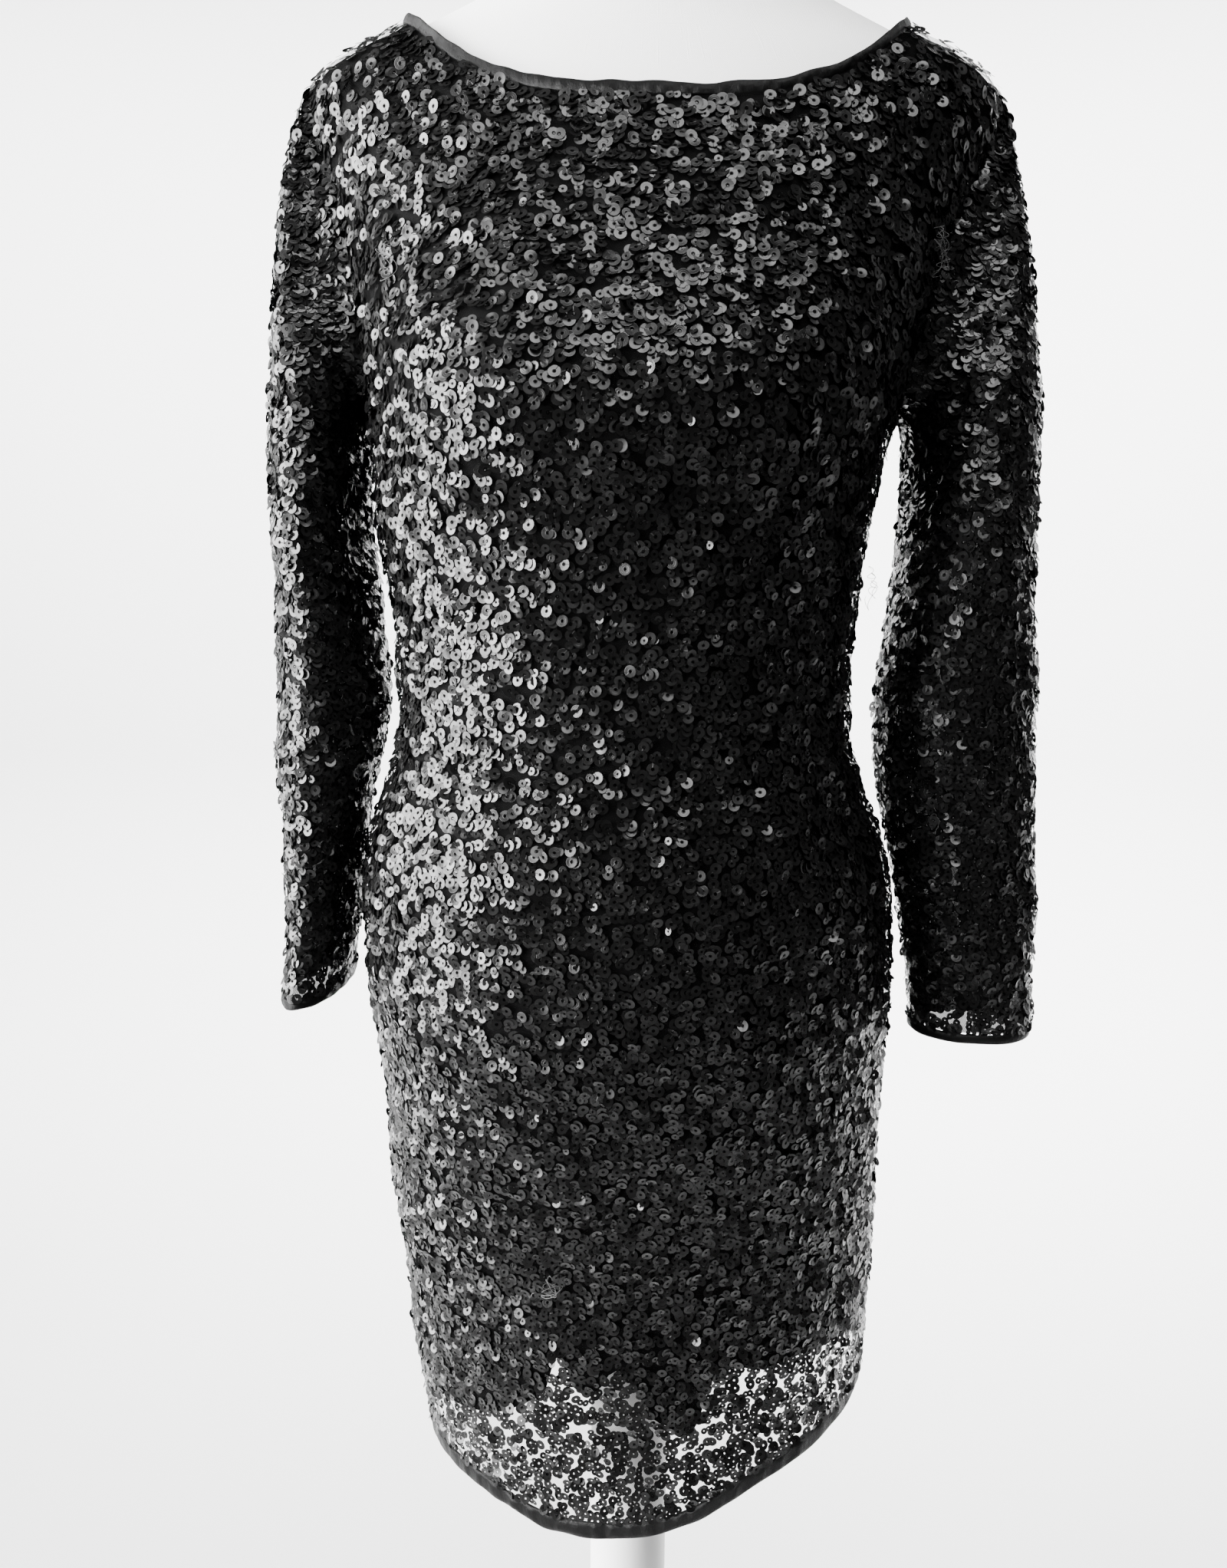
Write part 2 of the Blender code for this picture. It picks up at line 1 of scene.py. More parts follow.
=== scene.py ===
"""Looks for the long-sleeved sequin cocktail dress on its dress form.

Metres, +Z up. The front faces -Y and the wearer's left is at +X. Every cloth follows the
sections of the form, moved out by its layer. The sequins lie along one meandering line of
stitching on each panel, overlapping like scales.
"""

import math

import bpy
import numpy as np
from mathutils import Matrix


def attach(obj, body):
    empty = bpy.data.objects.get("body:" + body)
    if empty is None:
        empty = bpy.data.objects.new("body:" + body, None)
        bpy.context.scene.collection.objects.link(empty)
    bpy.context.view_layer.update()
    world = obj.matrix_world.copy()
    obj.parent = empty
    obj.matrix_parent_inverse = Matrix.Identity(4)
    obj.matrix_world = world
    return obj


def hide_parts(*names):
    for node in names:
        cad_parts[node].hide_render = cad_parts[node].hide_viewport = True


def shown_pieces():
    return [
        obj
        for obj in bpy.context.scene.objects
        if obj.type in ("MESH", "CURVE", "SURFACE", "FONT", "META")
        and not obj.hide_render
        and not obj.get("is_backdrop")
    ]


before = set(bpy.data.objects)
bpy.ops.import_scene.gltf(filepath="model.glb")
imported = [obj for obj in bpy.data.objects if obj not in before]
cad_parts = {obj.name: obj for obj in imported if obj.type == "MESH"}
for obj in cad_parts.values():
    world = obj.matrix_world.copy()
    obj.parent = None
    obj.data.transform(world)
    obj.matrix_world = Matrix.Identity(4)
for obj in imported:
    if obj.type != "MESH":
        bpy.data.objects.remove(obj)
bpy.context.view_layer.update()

# ---------------------------------------------------------------- sizes of the object
FORM_X = -0.0145
NECK_END_Z = 1.3585
SHOULDER_Z = 1.3370
UNDERARM_Z = 1.1780
HEM_Z = 0.5280
HEM_TILT = 0.090
NECK_DROP_FRONT = 0.050
NECK_DROP_BACK = 0.026
NECK_CURVE = 3.2
ARMHOLE_INSET = 0.035
SEAM_GAP = 0.0003
LINING_OUT = 0.0034
NET_OUT = 0.0050
DRESS_IN = 0.0044

NECK_BAND = 0.0040
HEM_BAND = 0.0110
CUFF_BAND = 0.0060
BAND_WALL = 0.0022

FORM_BOTTOM_Z = 0.6450
FORM_TOP_Z = 1.4600
FORM_INSET = 0.0020
FORM_ROUND = 0.006
POLE_RADIUS = 0.0250
BASE_RADIUS = 0.1750
BASE_HEIGHT = 0.0140

# fineness of the cloth: cells across and up a panel, and along a sleeve
PANEL_COLUMNS = 84
LOWER_ROWS = 66
UPPER_ROWS = 36
SHOULDER_COLUMNS = 14
CAP_ROWS = 26
ARM_ROWS = 50

BODY_COLUMNS = ("z", "shift", "half", "front", "back", "side", "square")
BODY = (
    (0.500, 0.0100, 0.134, 0.068, 0.134, 0.033, 2.15),
    (0.560, 0.0085, 0.138, 0.066, 0.133, 0.031, 2.15),
    (0.640, 0.0050, 0.143, 0.068, 0.130, 0.027, 2.15),
    (0.720, 0.0012, 0.145, 0.077, 0.128, 0.020, 2.20),
    (0.800, -0.0012, 0.145, 0.094, 0.124, 0.012, 2.20),
    (0.870, -0.0045, 0.147, 0.107, 0.116, 0.004, 2.20),
    (0.930, -0.0065, 0.143, 0.110, 0.098, -0.004, 2.20),
    (1.000, -0.0085, 0.121, 0.106, 0.076, -0.012, 2.20),
    (1.060, -0.0090, 0.117, 0.106, 0.072, -0.014, 2.20),
    (1.120, -0.0100, 0.125, 0.114, 0.080, -0.010, 2.20),
    (1.190, -0.0050, 0.134, 0.126, 0.092, -0.002, 2.25),
    (1.245, -0.0010, 0.147, 0.108, 0.096, 0.002, 2.25),
    (1.290, 0.0020, 0.160, 0.088, 0.090, 0.004, 2.20),
    (1.320, 0.0040, 0.170, 0.076, 0.080, 0.004, 2.10),
    (1.338, 0.0040, 0.165, 0.068, 0.074, 0.004, 2.05),
    (1.354, 0.0040, 0.134, 0.060, 0.068, 0.004, 2.00),
    (1.374, 0.0040, 0.090, 0.054, 0.062, 0.005, 2.00),
    (1.394, 0.0040, 0.061, 0.050, 0.058, 0.006, 2.00),
    (1.425, 0.0040, 0.052, 0.046, 0.058, 0.006, 2.00),
    (1.470, 0.0040, 0.051, 0.045, 0.057, 0.006, 2.00),
)
BUST = {"z": 1.185, "apart": 0.076, "high": 0.055, "wide": 0.046, "out": 0.010}

SLEEVE_COLUMNS = ("z", "x", "y", "across", "deep", "turn")
SLEEVES = {
    "left": (
        (1.115, 0.1791, 0.004, 0.0325, 0.0560, 0.0),
        (1.060, 0.1793, 0.003, 0.0390, 0.0480, 0.0),
        (1.010, 0.1802, 0.002, 0.0435, 0.0410, 0.0),
        (0.960, 0.1838, 0.000, 0.0415, 0.0370, 0.0),
        (0.910, 0.1915, -0.002, 0.0370, 0.0330, -4.0),
        (0.865, 0.1963, -0.004, 0.0349, 0.0290, -6.0),
        (0.833, 0.1991, -0.006, 0.0336, 0.0240, -8.0),
    ),
    "right": (
        (1.115, 0.1753, 0.002, 0.0220, 0.0600, 0.0),
        (1.060, 0.1733, 0.002, 0.0262, 0.0500, 0.0),
        (1.015, 0.1732, 0.002, 0.0275, 0.0455, 2.0),
        (0.970, 0.1772, 0.002, 0.0212, 0.0450, 4.0),
        (0.925, 0.1813, 0.000, 0.0180, 0.0430, 6.0),
        (0.885, 0.1841, -0.002, 0.0150, 0.0415, 8.0),
        (0.856, 0.1875, -0.004, 0.0133, 0.0395, 10.0),
    ),
}

# How strongly a sleeve sets out from its armhole: at the front and back seam, at the
# underarm, and over each shoulder.
CAP_OUT = {"seam": 0.045, "underarm": 0.050, "left": 0.012, "right": 0.030}

# Folds of the sleeves: at height z and at an angle round the sleeve (0 faces the body, 90
# the front, 180 outwards), deep into the tube, with half height and width, and how far
# the fold leans. The first four of each sleeve are its largest.
FOLD_COLUMNS = ("sleeve", "z", "angle", "deep", "high", "wide", "lean")
FOLDS = (
    ("left", 1.235, 70.0, 0.0040, 0.045, 26.0, 0.0),
    ("left", 1.060, 120.0, 0.0035, 0.030, 34.0, 300.0),
    ("left", 0.965, 70.0, 0.0040, 0.026, 34.0, -260.0),
    ("left", 0.900, 150.0, -0.0030, 0.028, 30.0, 200.0),
    ("left", 1.150, 100.0, 0.0018, 0.022, 22.0, -420.0),
    ("left", 1.010, 165.0, 0.0016, 0.014, 30.0, 500.0),
    ("left", 0.935, 110.0, 0.0014, 0.012, 26.0, 350.0),
    ("left", 0.870, 60.0, 0.0015, 0.016, 24.0, -350.0),
    ("left", 1.120, 240.0, 0.0028, 0.026, 30.0, 250.0),
    ("left", 0.990, 290.0, 0.0024, 0.020, 28.0, -300.0),
    ("left", 0.890, 250.0, 0.0018, 0.018, 26.0, 300.0),
    ("right", 1.240, 75.0, 0.0045, 0.050, 26.0, 0.0),
    ("right", 1.040, 60.0, 0.0045, 0.028, 34.0, -320.0),
    ("right", 0.990, 140.0, -0.0035, 0.026, 34.0, 260.0),
    ("right", 0.905, 100.0, 0.0030, 0.026, 30.0, -200.0),
    ("right", 1.160, 110.0, 0.0020, 0.024, 22.0, 380.0),
    ("right", 1.090, 150.0, 0.0014, 0.014, 24.0, -450.0),
    ("right", 0.950, 60.0, 0.0015, 0.014, 26.0, 420.0),
    ("right", 1.130, 250.0, 0.0026, 0.024, 30.0, -260.0),
    ("right", 1.000, 280.0, 0.0022, 0.020, 28.0, 320.0),
    ("right", 0.900, 230.0, 0.0016, 0.016, 24.0, -280.0),
)

# Creases of the front and back: the middle of each, across from the panel's centre line
# (towards the wearer's left) and z up, the way it runs in degrees from level, its half
# length, half width, and height out of the cloth (negative is a trough).
CREASE_COLUMNS = ("panel", "across", "z", "way", "long", "wide", "out")
CREASES = (
    ("front", -0.150, 1.020, 24.0, 0.060, 0.0075, -0.0022),
    ("front", -0.158, 1.046, 12.0, 0.050, 0.0070, 0.0016),
    ("front", -0.148, 0.992, -16.0, 0.064, 0.0085, -0.0018),
    ("front", -0.130, 1.085, 34.0, 0.046, 0.0070, -0.0016),
    ("front", 0.148, 1.010, -20.0, 0.058, 0.0075, -0.0020),
    ("front", 0.152, 1.052, -34.0, 0.052, 0.0070, -0.0017),
    ("front", 0.140, 0.972, 14.0, 0.056, 0.0085, -0.0015),
    ("front", 0.118, 1.092, -46.0, 0.040, 0.0065, 0.0012),
    ("front", -0.128, 1.225, 62.0, 0.060, 0.0090, -0.0026),
    ("front", -0.112, 1.275, 48.0, 0.034, 0.0070, 0.0016),
    ("front", 0.124, 1.232, -58.0, 0.058, 0.0085, -0.0024),
    ("front", 0.098, 1.292, -34.0, 0.030, 0.0065, 0.0014),
    ("front", -0.020, 0.760, 4.0, 0.090, 0.0160, -0.0010),
    ("front", 0.062, 0.700, -12.0, 0.070, 0.0130, 0.0010),
    ("front", -0.092, 0.690, 22.0, 0.060, 0.0110, -0.0012),
    ("front", -0.060, 0.885, 8.0, 0.080, 0.0150, -0.0008),
    ("back", -0.150, 1.030, 18.0, 0.062, 0.0080, -0.0022),
    ("back", -0.120, 1.060, -8.0, 0.070, 0.0090, -0.0018),
    ("back", -0.040, 1.040, 6.0, 0.080, 0.0100, 0.0016),
    ("back", 0.030, 1.062, -5.0, 0.076, 0.0095, -0.0016),
    ("back", 0.110, 1.046, 12.0, 0.066, 0.0085, -0.0020),
    ("back", 0.152, 1.010, -22.0, 0.056, 0.0080, -0.0020),
    ("back", 0.010, 1.092, 9.0, 0.060, 0.0085, 0.0012),
    ("back", -0.126, 1.235, 60.0, 0.056, 0.0085, -0.0024),
    ("back", 0.126, 1.228, -62.0, 0.058, 0.0090, -0.0024),
    ("back", 0.000, 0.700, 8.0, 0.090, 0.0150, -0.0010),
    ("back", -0.080, 0.780, -14.0, 0.070, 0.0130, 0.0010),
)

# The hem's own curve: how far it rises above its straight slope, by the distance from
# the form's axis (towards the wearer's left). It hangs lowest at the centre front.
HEM_COLUMNS = ("across", "up")
HEM_LINE = (
    (-0.150, 0.0170),
    (-0.097, 0.0160),
    (-0.048, -0.0010),
    (-0.007, -0.0050),
    (0.021, -0.0030),
    (0.069, 0.0155),
    (0.104, 0.0265),
    (0.150, 0.0420),
)

# Lower edge of the lining: how far across the panel (0 at the wearer's left, 1 at the
# right) and how high above the hem's lower edge. It rides up unevenly.
EDGE_COLUMNS = ("across", "above")
LINING_EDGE = {
    "front": (
        (0.00, 0.088),
        (0.10, 0.094),
        (0.18, 0.098),
        (0.26, 0.098),
        (0.32, 0.104),
        (0.36, 0.096),
        (0.39, 0.067),
        (0.45, 0.070),
        (0.49, 0.080),
        (0.525, 0.107),
        (0.555, 0.111),
        (0.60, 0.094),
        (0.635, 0.098),
        (0.664, 0.123),
        (0.695, 0.098),
        (0.75, 0.083),
        (0.82, 0.072),
        (0.91, 0.065),
        (1.00, 0.064),
    ),
    "back": (
        (0.00, 0.088),
        (0.20, 0.072),
        (0.38, 0.060),
        (0.55, 0.080),
        (0.75, 0.064),
        (1.00, 0.064),
    ),
}

SLEEVE_CLOSER = 0.89  # the sleeves are sewn more closely
SLEEVE_TURN = {"left": 0.09, "right": -0.13}  # the sequins on a sleeve's front lean outwards
LARGE_SEQUIN = 0.0030  # radius
SMALL_SEQUIN = 0.0021
SMALL_SHARE = 0.34
SEQUIN_STEP = 0.00370  # along the line of stitching
LINE_CELL = 0.00410  # between neighbouring lines of stitching


# ---------------------------------------------------------------- the body's surface
def column(rows, names, name):
    return np.array([row[names.index(name)] for row in rows], float)


def smooth(at, places, values):
    """A cubic through the rows, with each slope taken from the rows on either side."""
    at = np.clip(np.asarray(at, float), places[0], places[-1])
    run = np.diff(places)
    rise = np.diff(values) / run
    slope = np.empty(len(places))
    slope[1:-1] = (rise[:-1] * run[1:] + rise[1:] * run[:-1]) / (run[:-1] + run[1:])
    slope[0], slope[-1] = rise[0], rise[-1]
    k = np.clip(np.searchsorted(places, at, side="right") - 1, 0, len(places) - 2)
    t = (at - places[k]) / run[k]
    return (
        (2 * t**3 - 3 * t**2 + 1) * values[k]
        + (t**3 - 2 * t**2 + t) * run[k] * slope[k]
        + (3 * t**2 - 2 * t**3) * values[k + 1]
        + (t**3 - t**2) * run[k] * slope[k + 1]
    )


def body(z, name):
    return smooth(
        z, column(BODY, BODY_COLUMNS, "z"), column(BODY, BODY_COLUMNS, name)
    )


def bust_lift(x, z):
    return sum(
        BUST["out"]
        * np.exp(
            -(((x - way * BUST["apart"]) / BUST["wide"]) ** 2)
            - ((z - BUST["z"]) / BUST["high"]) ** 2
        )
        for way in (-1, 1)
    )


def body_middle(z):
    return FORM_X + body(z, "shift")


def front_or_back(x, z, front):
    """The body's surface at x across and z up, on the front or on the back."""
    half, square, side = body(z, "half"), body(z, "square"), body(z, "side")
    across = x - body_middle(z)
    lift = (1 - np.clip(np.abs(across) / half, 0, 1) ** square) ** (1 / square)
    if front:
        y = side - (body(z, "front") + side + bust_lift(across, z)) * lift
    else:
        y = side + (body(z, "back") - side) * lift
    return np.stack(np.broadcast_arrays(x, y, z), -1)


def reach(points):
    """1 on the body's surface, less inside and more outside."""
    x, y, z = points[..., 0], points[..., 1], points[..., 2]
    across = x - body_middle(z)
    deep = y - body(z, "side")
    front = body(z, "front") + body(z, "side") + bust_lift(across, z)
    back = body(z, "back") - body(z, "side")
    square = body(z, "square")
    return (
        np.abs(across / body(z, "half")) ** square
        + np.abs(deep / np.where(deep < 0, front, back)) ** square
    )


def body_normals(points):
    step = 2e-4
    slope = np.stack(
        [
            reach(points + step * axis) - reach(points - step * axis)
            for axis in np.eye(3)
        ],
        -1,
    )
    return slope / np.linalg.norm(slope, axis=-1, keepdims=True)


def evenly_across(z, front, cells):
    """x at even steps of arc length across the front or back at height z."""
    turn = np.linspace(0, math.pi, 361)
    x = body_middle(z) + body(z, "half") * np.cos(turn)
    points = front_or_back(x, np.full_like(x, z), front)
    ends = (0, -1)
    points[ends, 1] = body(z, "side")
    along = np.concatenate(
        [[0], np.cumsum(np.linalg.norm(np.diff(points, axis=0), axis=1))]
    )
    return np.interp(np.linspace(0, along[-1], cells + 1), along, x)


def hem_slope(x):
    return HEM_Z + HEM_TILT * (x - FORM_X)


def hem_height(x):
    """The hem's lower edge: its slope and its own curve."""
    across = column(HEM_LINE, HEM_COLUMNS, "across")
    up = column(HEM_LINE, HEM_COLUMNS, "up")
    return hem_slope(x) + smooth(x - FORM_X, across, up)


def lining_edge(front):
    rows = LINING_EDGE["front" if front else "back"]
    across = column(rows, EDGE_COLUMNS, "across")
    above = column(rows, EDGE_COLUMNS, "above")

    def height(x):
        reach_x = x.max() - x.min()
        return hem_slope(x) + smooth((x.max() - x) / reach_x, across, above)

    return height


def top_edge(front):
    """x and z of a panel's top edge, from the wearer's left shoulder to the right."""
    z = np.linspace(SHOULDER_Z, NECK_END_Z, SHOULDER_COLUMNS + 1)
    seam = body(z, "half")
    neck_end = seam[-1]
    cells = PANEL_COLUMNS - 2 * SHOULDER_COLUMNS
    turn = np.linspace(0, math.pi, cells + 1)[1:-1]
    across = neck_end * (0.8 * np.cos(turn) + 0.2 * (1 - 2 * turn / math.pi))
    drop = NECK_DROP_FRONT if front else NECK_DROP_BACK
    neck_z = NECK_END_Z - drop * (1 - np.abs(across / neck_end) ** NECK_CURVE)
    x = np.concatenate([seam, across, -seam[::-1]])
    z = np.concatenate([z, neck_z, z[::-1]])
    return x + body_middle(z), z


def panel_points(front, lower_edge):
    """Points of the form's surface under one panel: rows from lower_edge up, and
    columns from the wearer's left to the right. lower_edge gives z from x."""
    rows = []
    top_x, top_z = top_edge(front)
    for row in range(LOWER_ROWS):
        share = row / LOWER_ROWS
        level = hem_height(FORM_X) * (1 - share) + UNDERARM_Z * share
        x = evenly_across(level, front, PANEL_COLUMNS)
        if lower_edge is None:
            low = hem_height(x) + HEM_BAND + SEAM_GAP
        else:
            low = lower_edge(x)
        z = low * (1 - share) + UNDERARM_Z * share
        middle, half = body_middle(level), body(level, "half")
        x = body_middle(z) + (x - middle) / half * body(z, "half")
        rows.append((x, z))
    base_x = evenly_across(UNDERARM_Z, front, PANEL_COLUMNS)
    base = (base_x - body_middle(UNDERARM_Z)) / body(UNDERARM_Z, "half")
    top = (top_x - body_middle(top_z)) / body(SHOULDER_Z, "half")
    for row in range(UPPER_ROWS + 1):
        share = 1 - (1 - row / UPPER_ROWS) ** 2
        edge_z = UNDERARM_Z + (SHOULDER_Z - UNDERARM_Z) * share
        edge = body(edge_z, "half") * (
            1 - ARMHOLE_INSET * max(0.0, math.sin(math.pi * share)) ** 0.8
        )
        z = UNDERARM_Z + (top_z - UNDERARM_Z) * share
        x = body_middle(z) + edge * (base * (1 - share) + top * share)
        rows.append((x, z))
    points = np.stack([front_or_back(x, z, front) for x, z in rows])
    for row, (x, z) in enumerate(rows):
        if row <= LOWER_ROWS or row == len(rows) - 1:
            for end in (0, -1):
                points[row, end, 1] = body(z[end], "side")
    for k in range(SHOULDER_COLUMNS + 1):
        for end in (k, -1 - k):
            points[-1, end, 1] = body(top_z[end], "side")
    return points


# ---------------------------------------------------------------- sleeves
def sleeve_row(side, z, name):
    rows = SLEEVES[side][::-1]
    return smooth(
        z, column(rows, SLEEVE_COLUMNS, "z"), column(rows, SLEEVE_COLUMNS, name)
    )


def armhole(side):
    """The armhole on the form's surface: underarm, up the front, shoulder, down the back."""
    end = 0 if side == "left" else -1
    front = PANEL_BASE[True][LOWER_ROWS:, end]
    back = PANEL_BASE[False][LOWER_ROWS:, end]
    return np.concatenate([front, back[-2:0:-1]])


def tube_normals(points):
    """Outward normals of a grid whose columns close round a tube."""
    along = np.gradient(points, axis=0)
    around = np.roll(points, -1, 1) - np.roll(points, 1, 1)
    normals = np.cross(around, along)
    normals /= np.linalg.norm(normals, axis=-1, keepdims=True) + 1e-12
    outwards = points - points.mean(1, keepdims=True)
    ways = np.sign((normals * outwards).sum(-1).sum(1))
    return normals * ways[:, None, None]


def sleeve_points(side):
    """The inside of a sleeve: rows from the armhole to the cuff, columns round it."""
    out = 1 if side == "left" else -1
    ring = armhole(side)
    count = len(ring)
    round_it = 2 * math.pi * np.arange(count) / count
    normals = body_normals(ring)
    under = np.clip(np.cos(round_it), 0, 1)[:, None] ** 2
    over = np.clip(-np.cos(round_it), 0, 1)[:, None]
    start_way = out * np.array([1.0, 0, 0]) + 0.30 * normals
    start_way[:, 2] -= (0.25 * over)[:, 0]
    start_way /= np.linalg.norm(start_way, axis=1, keepdims=True)
    along = np.roll(ring, -1, 0) - np.roll(ring, 1, 0)
    edge_way = np.cross(normals, along)
    edge_way *= np.sign(edge_way[:, :1] * out + 1e-9)
    edge_way /= np.linalg.norm(edge_way, axis=1, keepdims=True)
    start = ring + DRESS_IN * normals
    start = start + (1 - under) * 1.0 * SEAM_GAP * edge_way
    start = start + under * np.array([0, 0, 0.0030])
    wall_way = (1 - under) * normals - under * np.array([0, 0, 1.0])
    wall_way /= np.linalg.norm(wall_way, axis=1, keepdims=True)

    def section(z):
        turn = math.radians(float(sleeve_row(side, z, "turn")))
        along = -np.cos(round_it) * sleeve_row(side, z, "across")
        deep = -np.sin(round_it) * sleeve_row(side, z, "deep")
        x = sleeve_row(side, z, "x") + along * math.cos(turn) - deep * math.sin(turn)
        y = sleeve_row(side, z, "y") + along * math.sin(turn) + deep * math.cos(turn)
        return np.stack([FORM_X + out * x, y, np.full(count, z)], -1)

    top_z = SLEEVES[side][0][0]
    cuff_z = SLEEVES[side][-1][0]
    end = section(top_z)
    length = np.linalg.norm(end - start, axis=1)[:, None]
    first = start_way * (
        CAP_OUT["seam"]
        + (CAP_OUT[side] - CAP_OUT["seam"]) * over
        + (CAP_OUT["underarm"] - CAP_OUT["seam"]) * under
    )
    last = np.array([0, 0, -1.0]) * length * 1.5
    rows = []
    for row in range(CAP_ROWS):
        t = row / CAP_ROWS
        rows.append(
            (2 * t**3 - 3 * t**2 + 1) * start
            + (t**3 - 2 * t**2 + t) * first
            + (3 * t**2 - 2 * t**3) * end
            + (t**3 - t**2) * last
        )
    for z in np.linspace(top_z, cuff_z, ARM_ROWS + 1):
        rows.append(section(z))
    points = np.stack(rows)
    degrees = np.degrees(round_it)[None, :]
    normals = tube_normals(points)
    fade = np.clip(np.arange(len(points)) / (0.35 * CAP_ROWS), 0, 1)[:, None]
    fade = fade * fade * (3 - 2 * fade)
    for name, z, angle, deep, high, wide, lean in FOLDS:
        if name != side:
            continue
        up = points[..., 2] - z
        off = (degrees - angle - lean * up + 180) % 360 - 180
        size = fade * deep * np.exp(-((up / high) ** 2) - (off / wide) ** 2)
        points = points - size[..., None] * normals
    walls = tube_normals(points)
    for row in range(int(0.4 * CAP_ROWS)):
        share = 1 - row / (0.4 * CAP_ROWS)
        walls[row] = (1 - share) * walls[row] + share * wall_way
    walls /= np.linalg.norm(walls, axis=-1, keepdims=True)
    return points, walls


# ---------------------------------------------------------------- noise
class Ripple:
    """Smooth uneven noise made of waves in many directions, from -1 to 1 or so."""

    def __init__(self, seed, lengths, ways=3, count=10):
        made = np.random.default_rng(seed)
        turn = made.normal(size=(count, ways))
        turn /= np.linalg.norm(turn, axis=1, keepdims=True)
        length = made.uniform(*lengths, count)
        self.waves = 2 * math.pi * turn / length[:, None]
        self.phases = made.uniform(0, 2 * math.pi, count)
        self.scale = math.sqrt(2.0 / count)

    def __call__(self, points):
        total = np.zeros(points.shape[:-1])
        for wave, phase in zip(self.waves, self.phases):
            total += np.sin(points @ wave + phase)
        return self.scale * total


# ---------------------------------------------------------------- cloth surfaces
def grid_normals(points, round_it, like):
    """Normals of a grid, facing the same way as like."""
    up = np.gradient(points, axis=0)
    if round_it:
        across = np.roll(points, -1, 1) - np.roll(points, 1, 1)
    else:
        across = np.gradient(points, axis=1)
    normals = np.cross(across, up)
    size = np.linalg.norm(normals, axis=-1, keepdims=True)
    normals = np.where(size > 1e-12, normals / np.maximum(size, 1e-12), like)
    return normals * np.sign((normals * like).sum(-1, keepdims=True) + 1e-9)


class Surface:
    """A cloth as a fine grid, with places measured across and up it in metres."""

    def __init__(self, points, normals, round_it=False):
        if round_it:
            points = np.concatenate([points, points[:, :1]], 1)
            normals = np.concatenate([normals, normals[:, :1]], 1)
        self.points, self.normals = points, normals
        steps = np.linalg.norm(np.diff(points, axis=1), axis=-1)
        across = np.concatenate(
            [np.zeros((len(points), 1)), np.cumsum(steps, axis=1)], axis=1
        )
        self.middle = points.shape[1] // 2
        self.across = across - across[:, self.middle : self.middle + 1]
        rise = np.linalg.norm(np.diff(points, axis=0), axis=-1)
        pick = rise[:, points.shape[1] // 4 : -(points.shape[1] // 4)].mean(1)
        self.up = np.concatenate([[0], np.cumsum(pick)])

    def places(self, flat):
        """Row and column of points given across and up, and which of them are on it."""
        s, t = flat[:, 0], flat[:, 1]
        row = np.interp(t, self.up, np.arange(len(self.up)))
        low = np.clip(row.astype(int), 0, len(self.up) - 2)
        share = row - low
        columns = np.arange(self.across.shape[1], dtype=float)
        at = np.zeros(len(flat))
        inside = (t > self.up[0]) & (t < self.up[-1])
        for k in range(len(self.up) - 1):
            pick = np.flatnonzero(low == k)
            if not len(pick):
                continue
            a = np.interp(s[pick], self.across[k], columns)
            b = np.interp(s[pick], self.across[k + 1], columns)
            at[pick] = a + (b - a) * share[pick]
            left = (
                self.across[k, 0] * (1 - share[pick])
                + self.across[k + 1, 0] * share[pick]
            )
            right = (
                self.across[k, -1] * (1 - share[pick])
                + self.across[k + 1, -1] * share[pick]
            )
            inside[pick] &= (s[pick] > left) & (s[pick] < right)
        return row, at, inside

    def sample(self, grid, row, at):
        i = np.clip(row.astype(int), 0, grid.shape[0] - 2)
        j = np.clip(at.astype(int), 0, grid.shape[1] - 2)
        a, b = (row - i)[:, None], (at - j)[:, None]
        return (
            grid[i, j] * (1 - a) * (1 - b)
            + grid[i + 1, j] * a * (1 - b)
            + grid[i, j + 1] * (1 - a) * b
            + grid[i + 1, j + 1] * a * b
        )


def crease(points, base, front):
    """How far the creases move the cloth out at each point of a panel."""
    name = "front" if front else "back"
    across = Surface(base, base).across
    z = base[..., 2]
    total = np.zeros(z.shape)
    for panel, s, height, way, long, wide, out in CREASES:
        if panel != name:
            continue
        way = math.radians(way)
        dx, dz = -across - s, z - height
        along = dx * math.cos(way) + dz * math.sin(way)
        off = -dx * math.sin(way) + dz * math.cos(way)
        # a crease is sharper at one end than the other, and bows a little
        off = off + 0.9 * along**2 / long * 0.25
        total += out * np.exp(-((along / long) ** 2) - (off / wide) ** 2)
    return total


BROAD = Ripple(11, (0.045, 0.110))
FINE = Ripple(12, (0.014, 0.030), count=14)


def relief(points):
    """The cloth's own unevenness: broad waves and the fine buckling of heavy net."""
    return 0.00045 * BROAD(points) + 0.00026 * FINE(points)


def panel_cloth(front, base, out, edges):
    """A panel's cloth, at out from the form's sections, with its creases."""
    normals = body_normals(base)
    rows, columns = base.shape[:2]
    inwards = np.minimum(
        np.minimum(np.arange(columns), np.arange(columns)[::-1])[None, :] / 4.0,
        np.minimum(np.arange(rows), np.arange(rows)[::-1])[:, None] / 4.0,
    )
    fade = np.clip(inwards, 0, 1)
    move = crease(base, base, front) + relief(base) * fade
    points = base + (out + move)[..., None] * normals
    return points, grid_normals(points, False, normals)


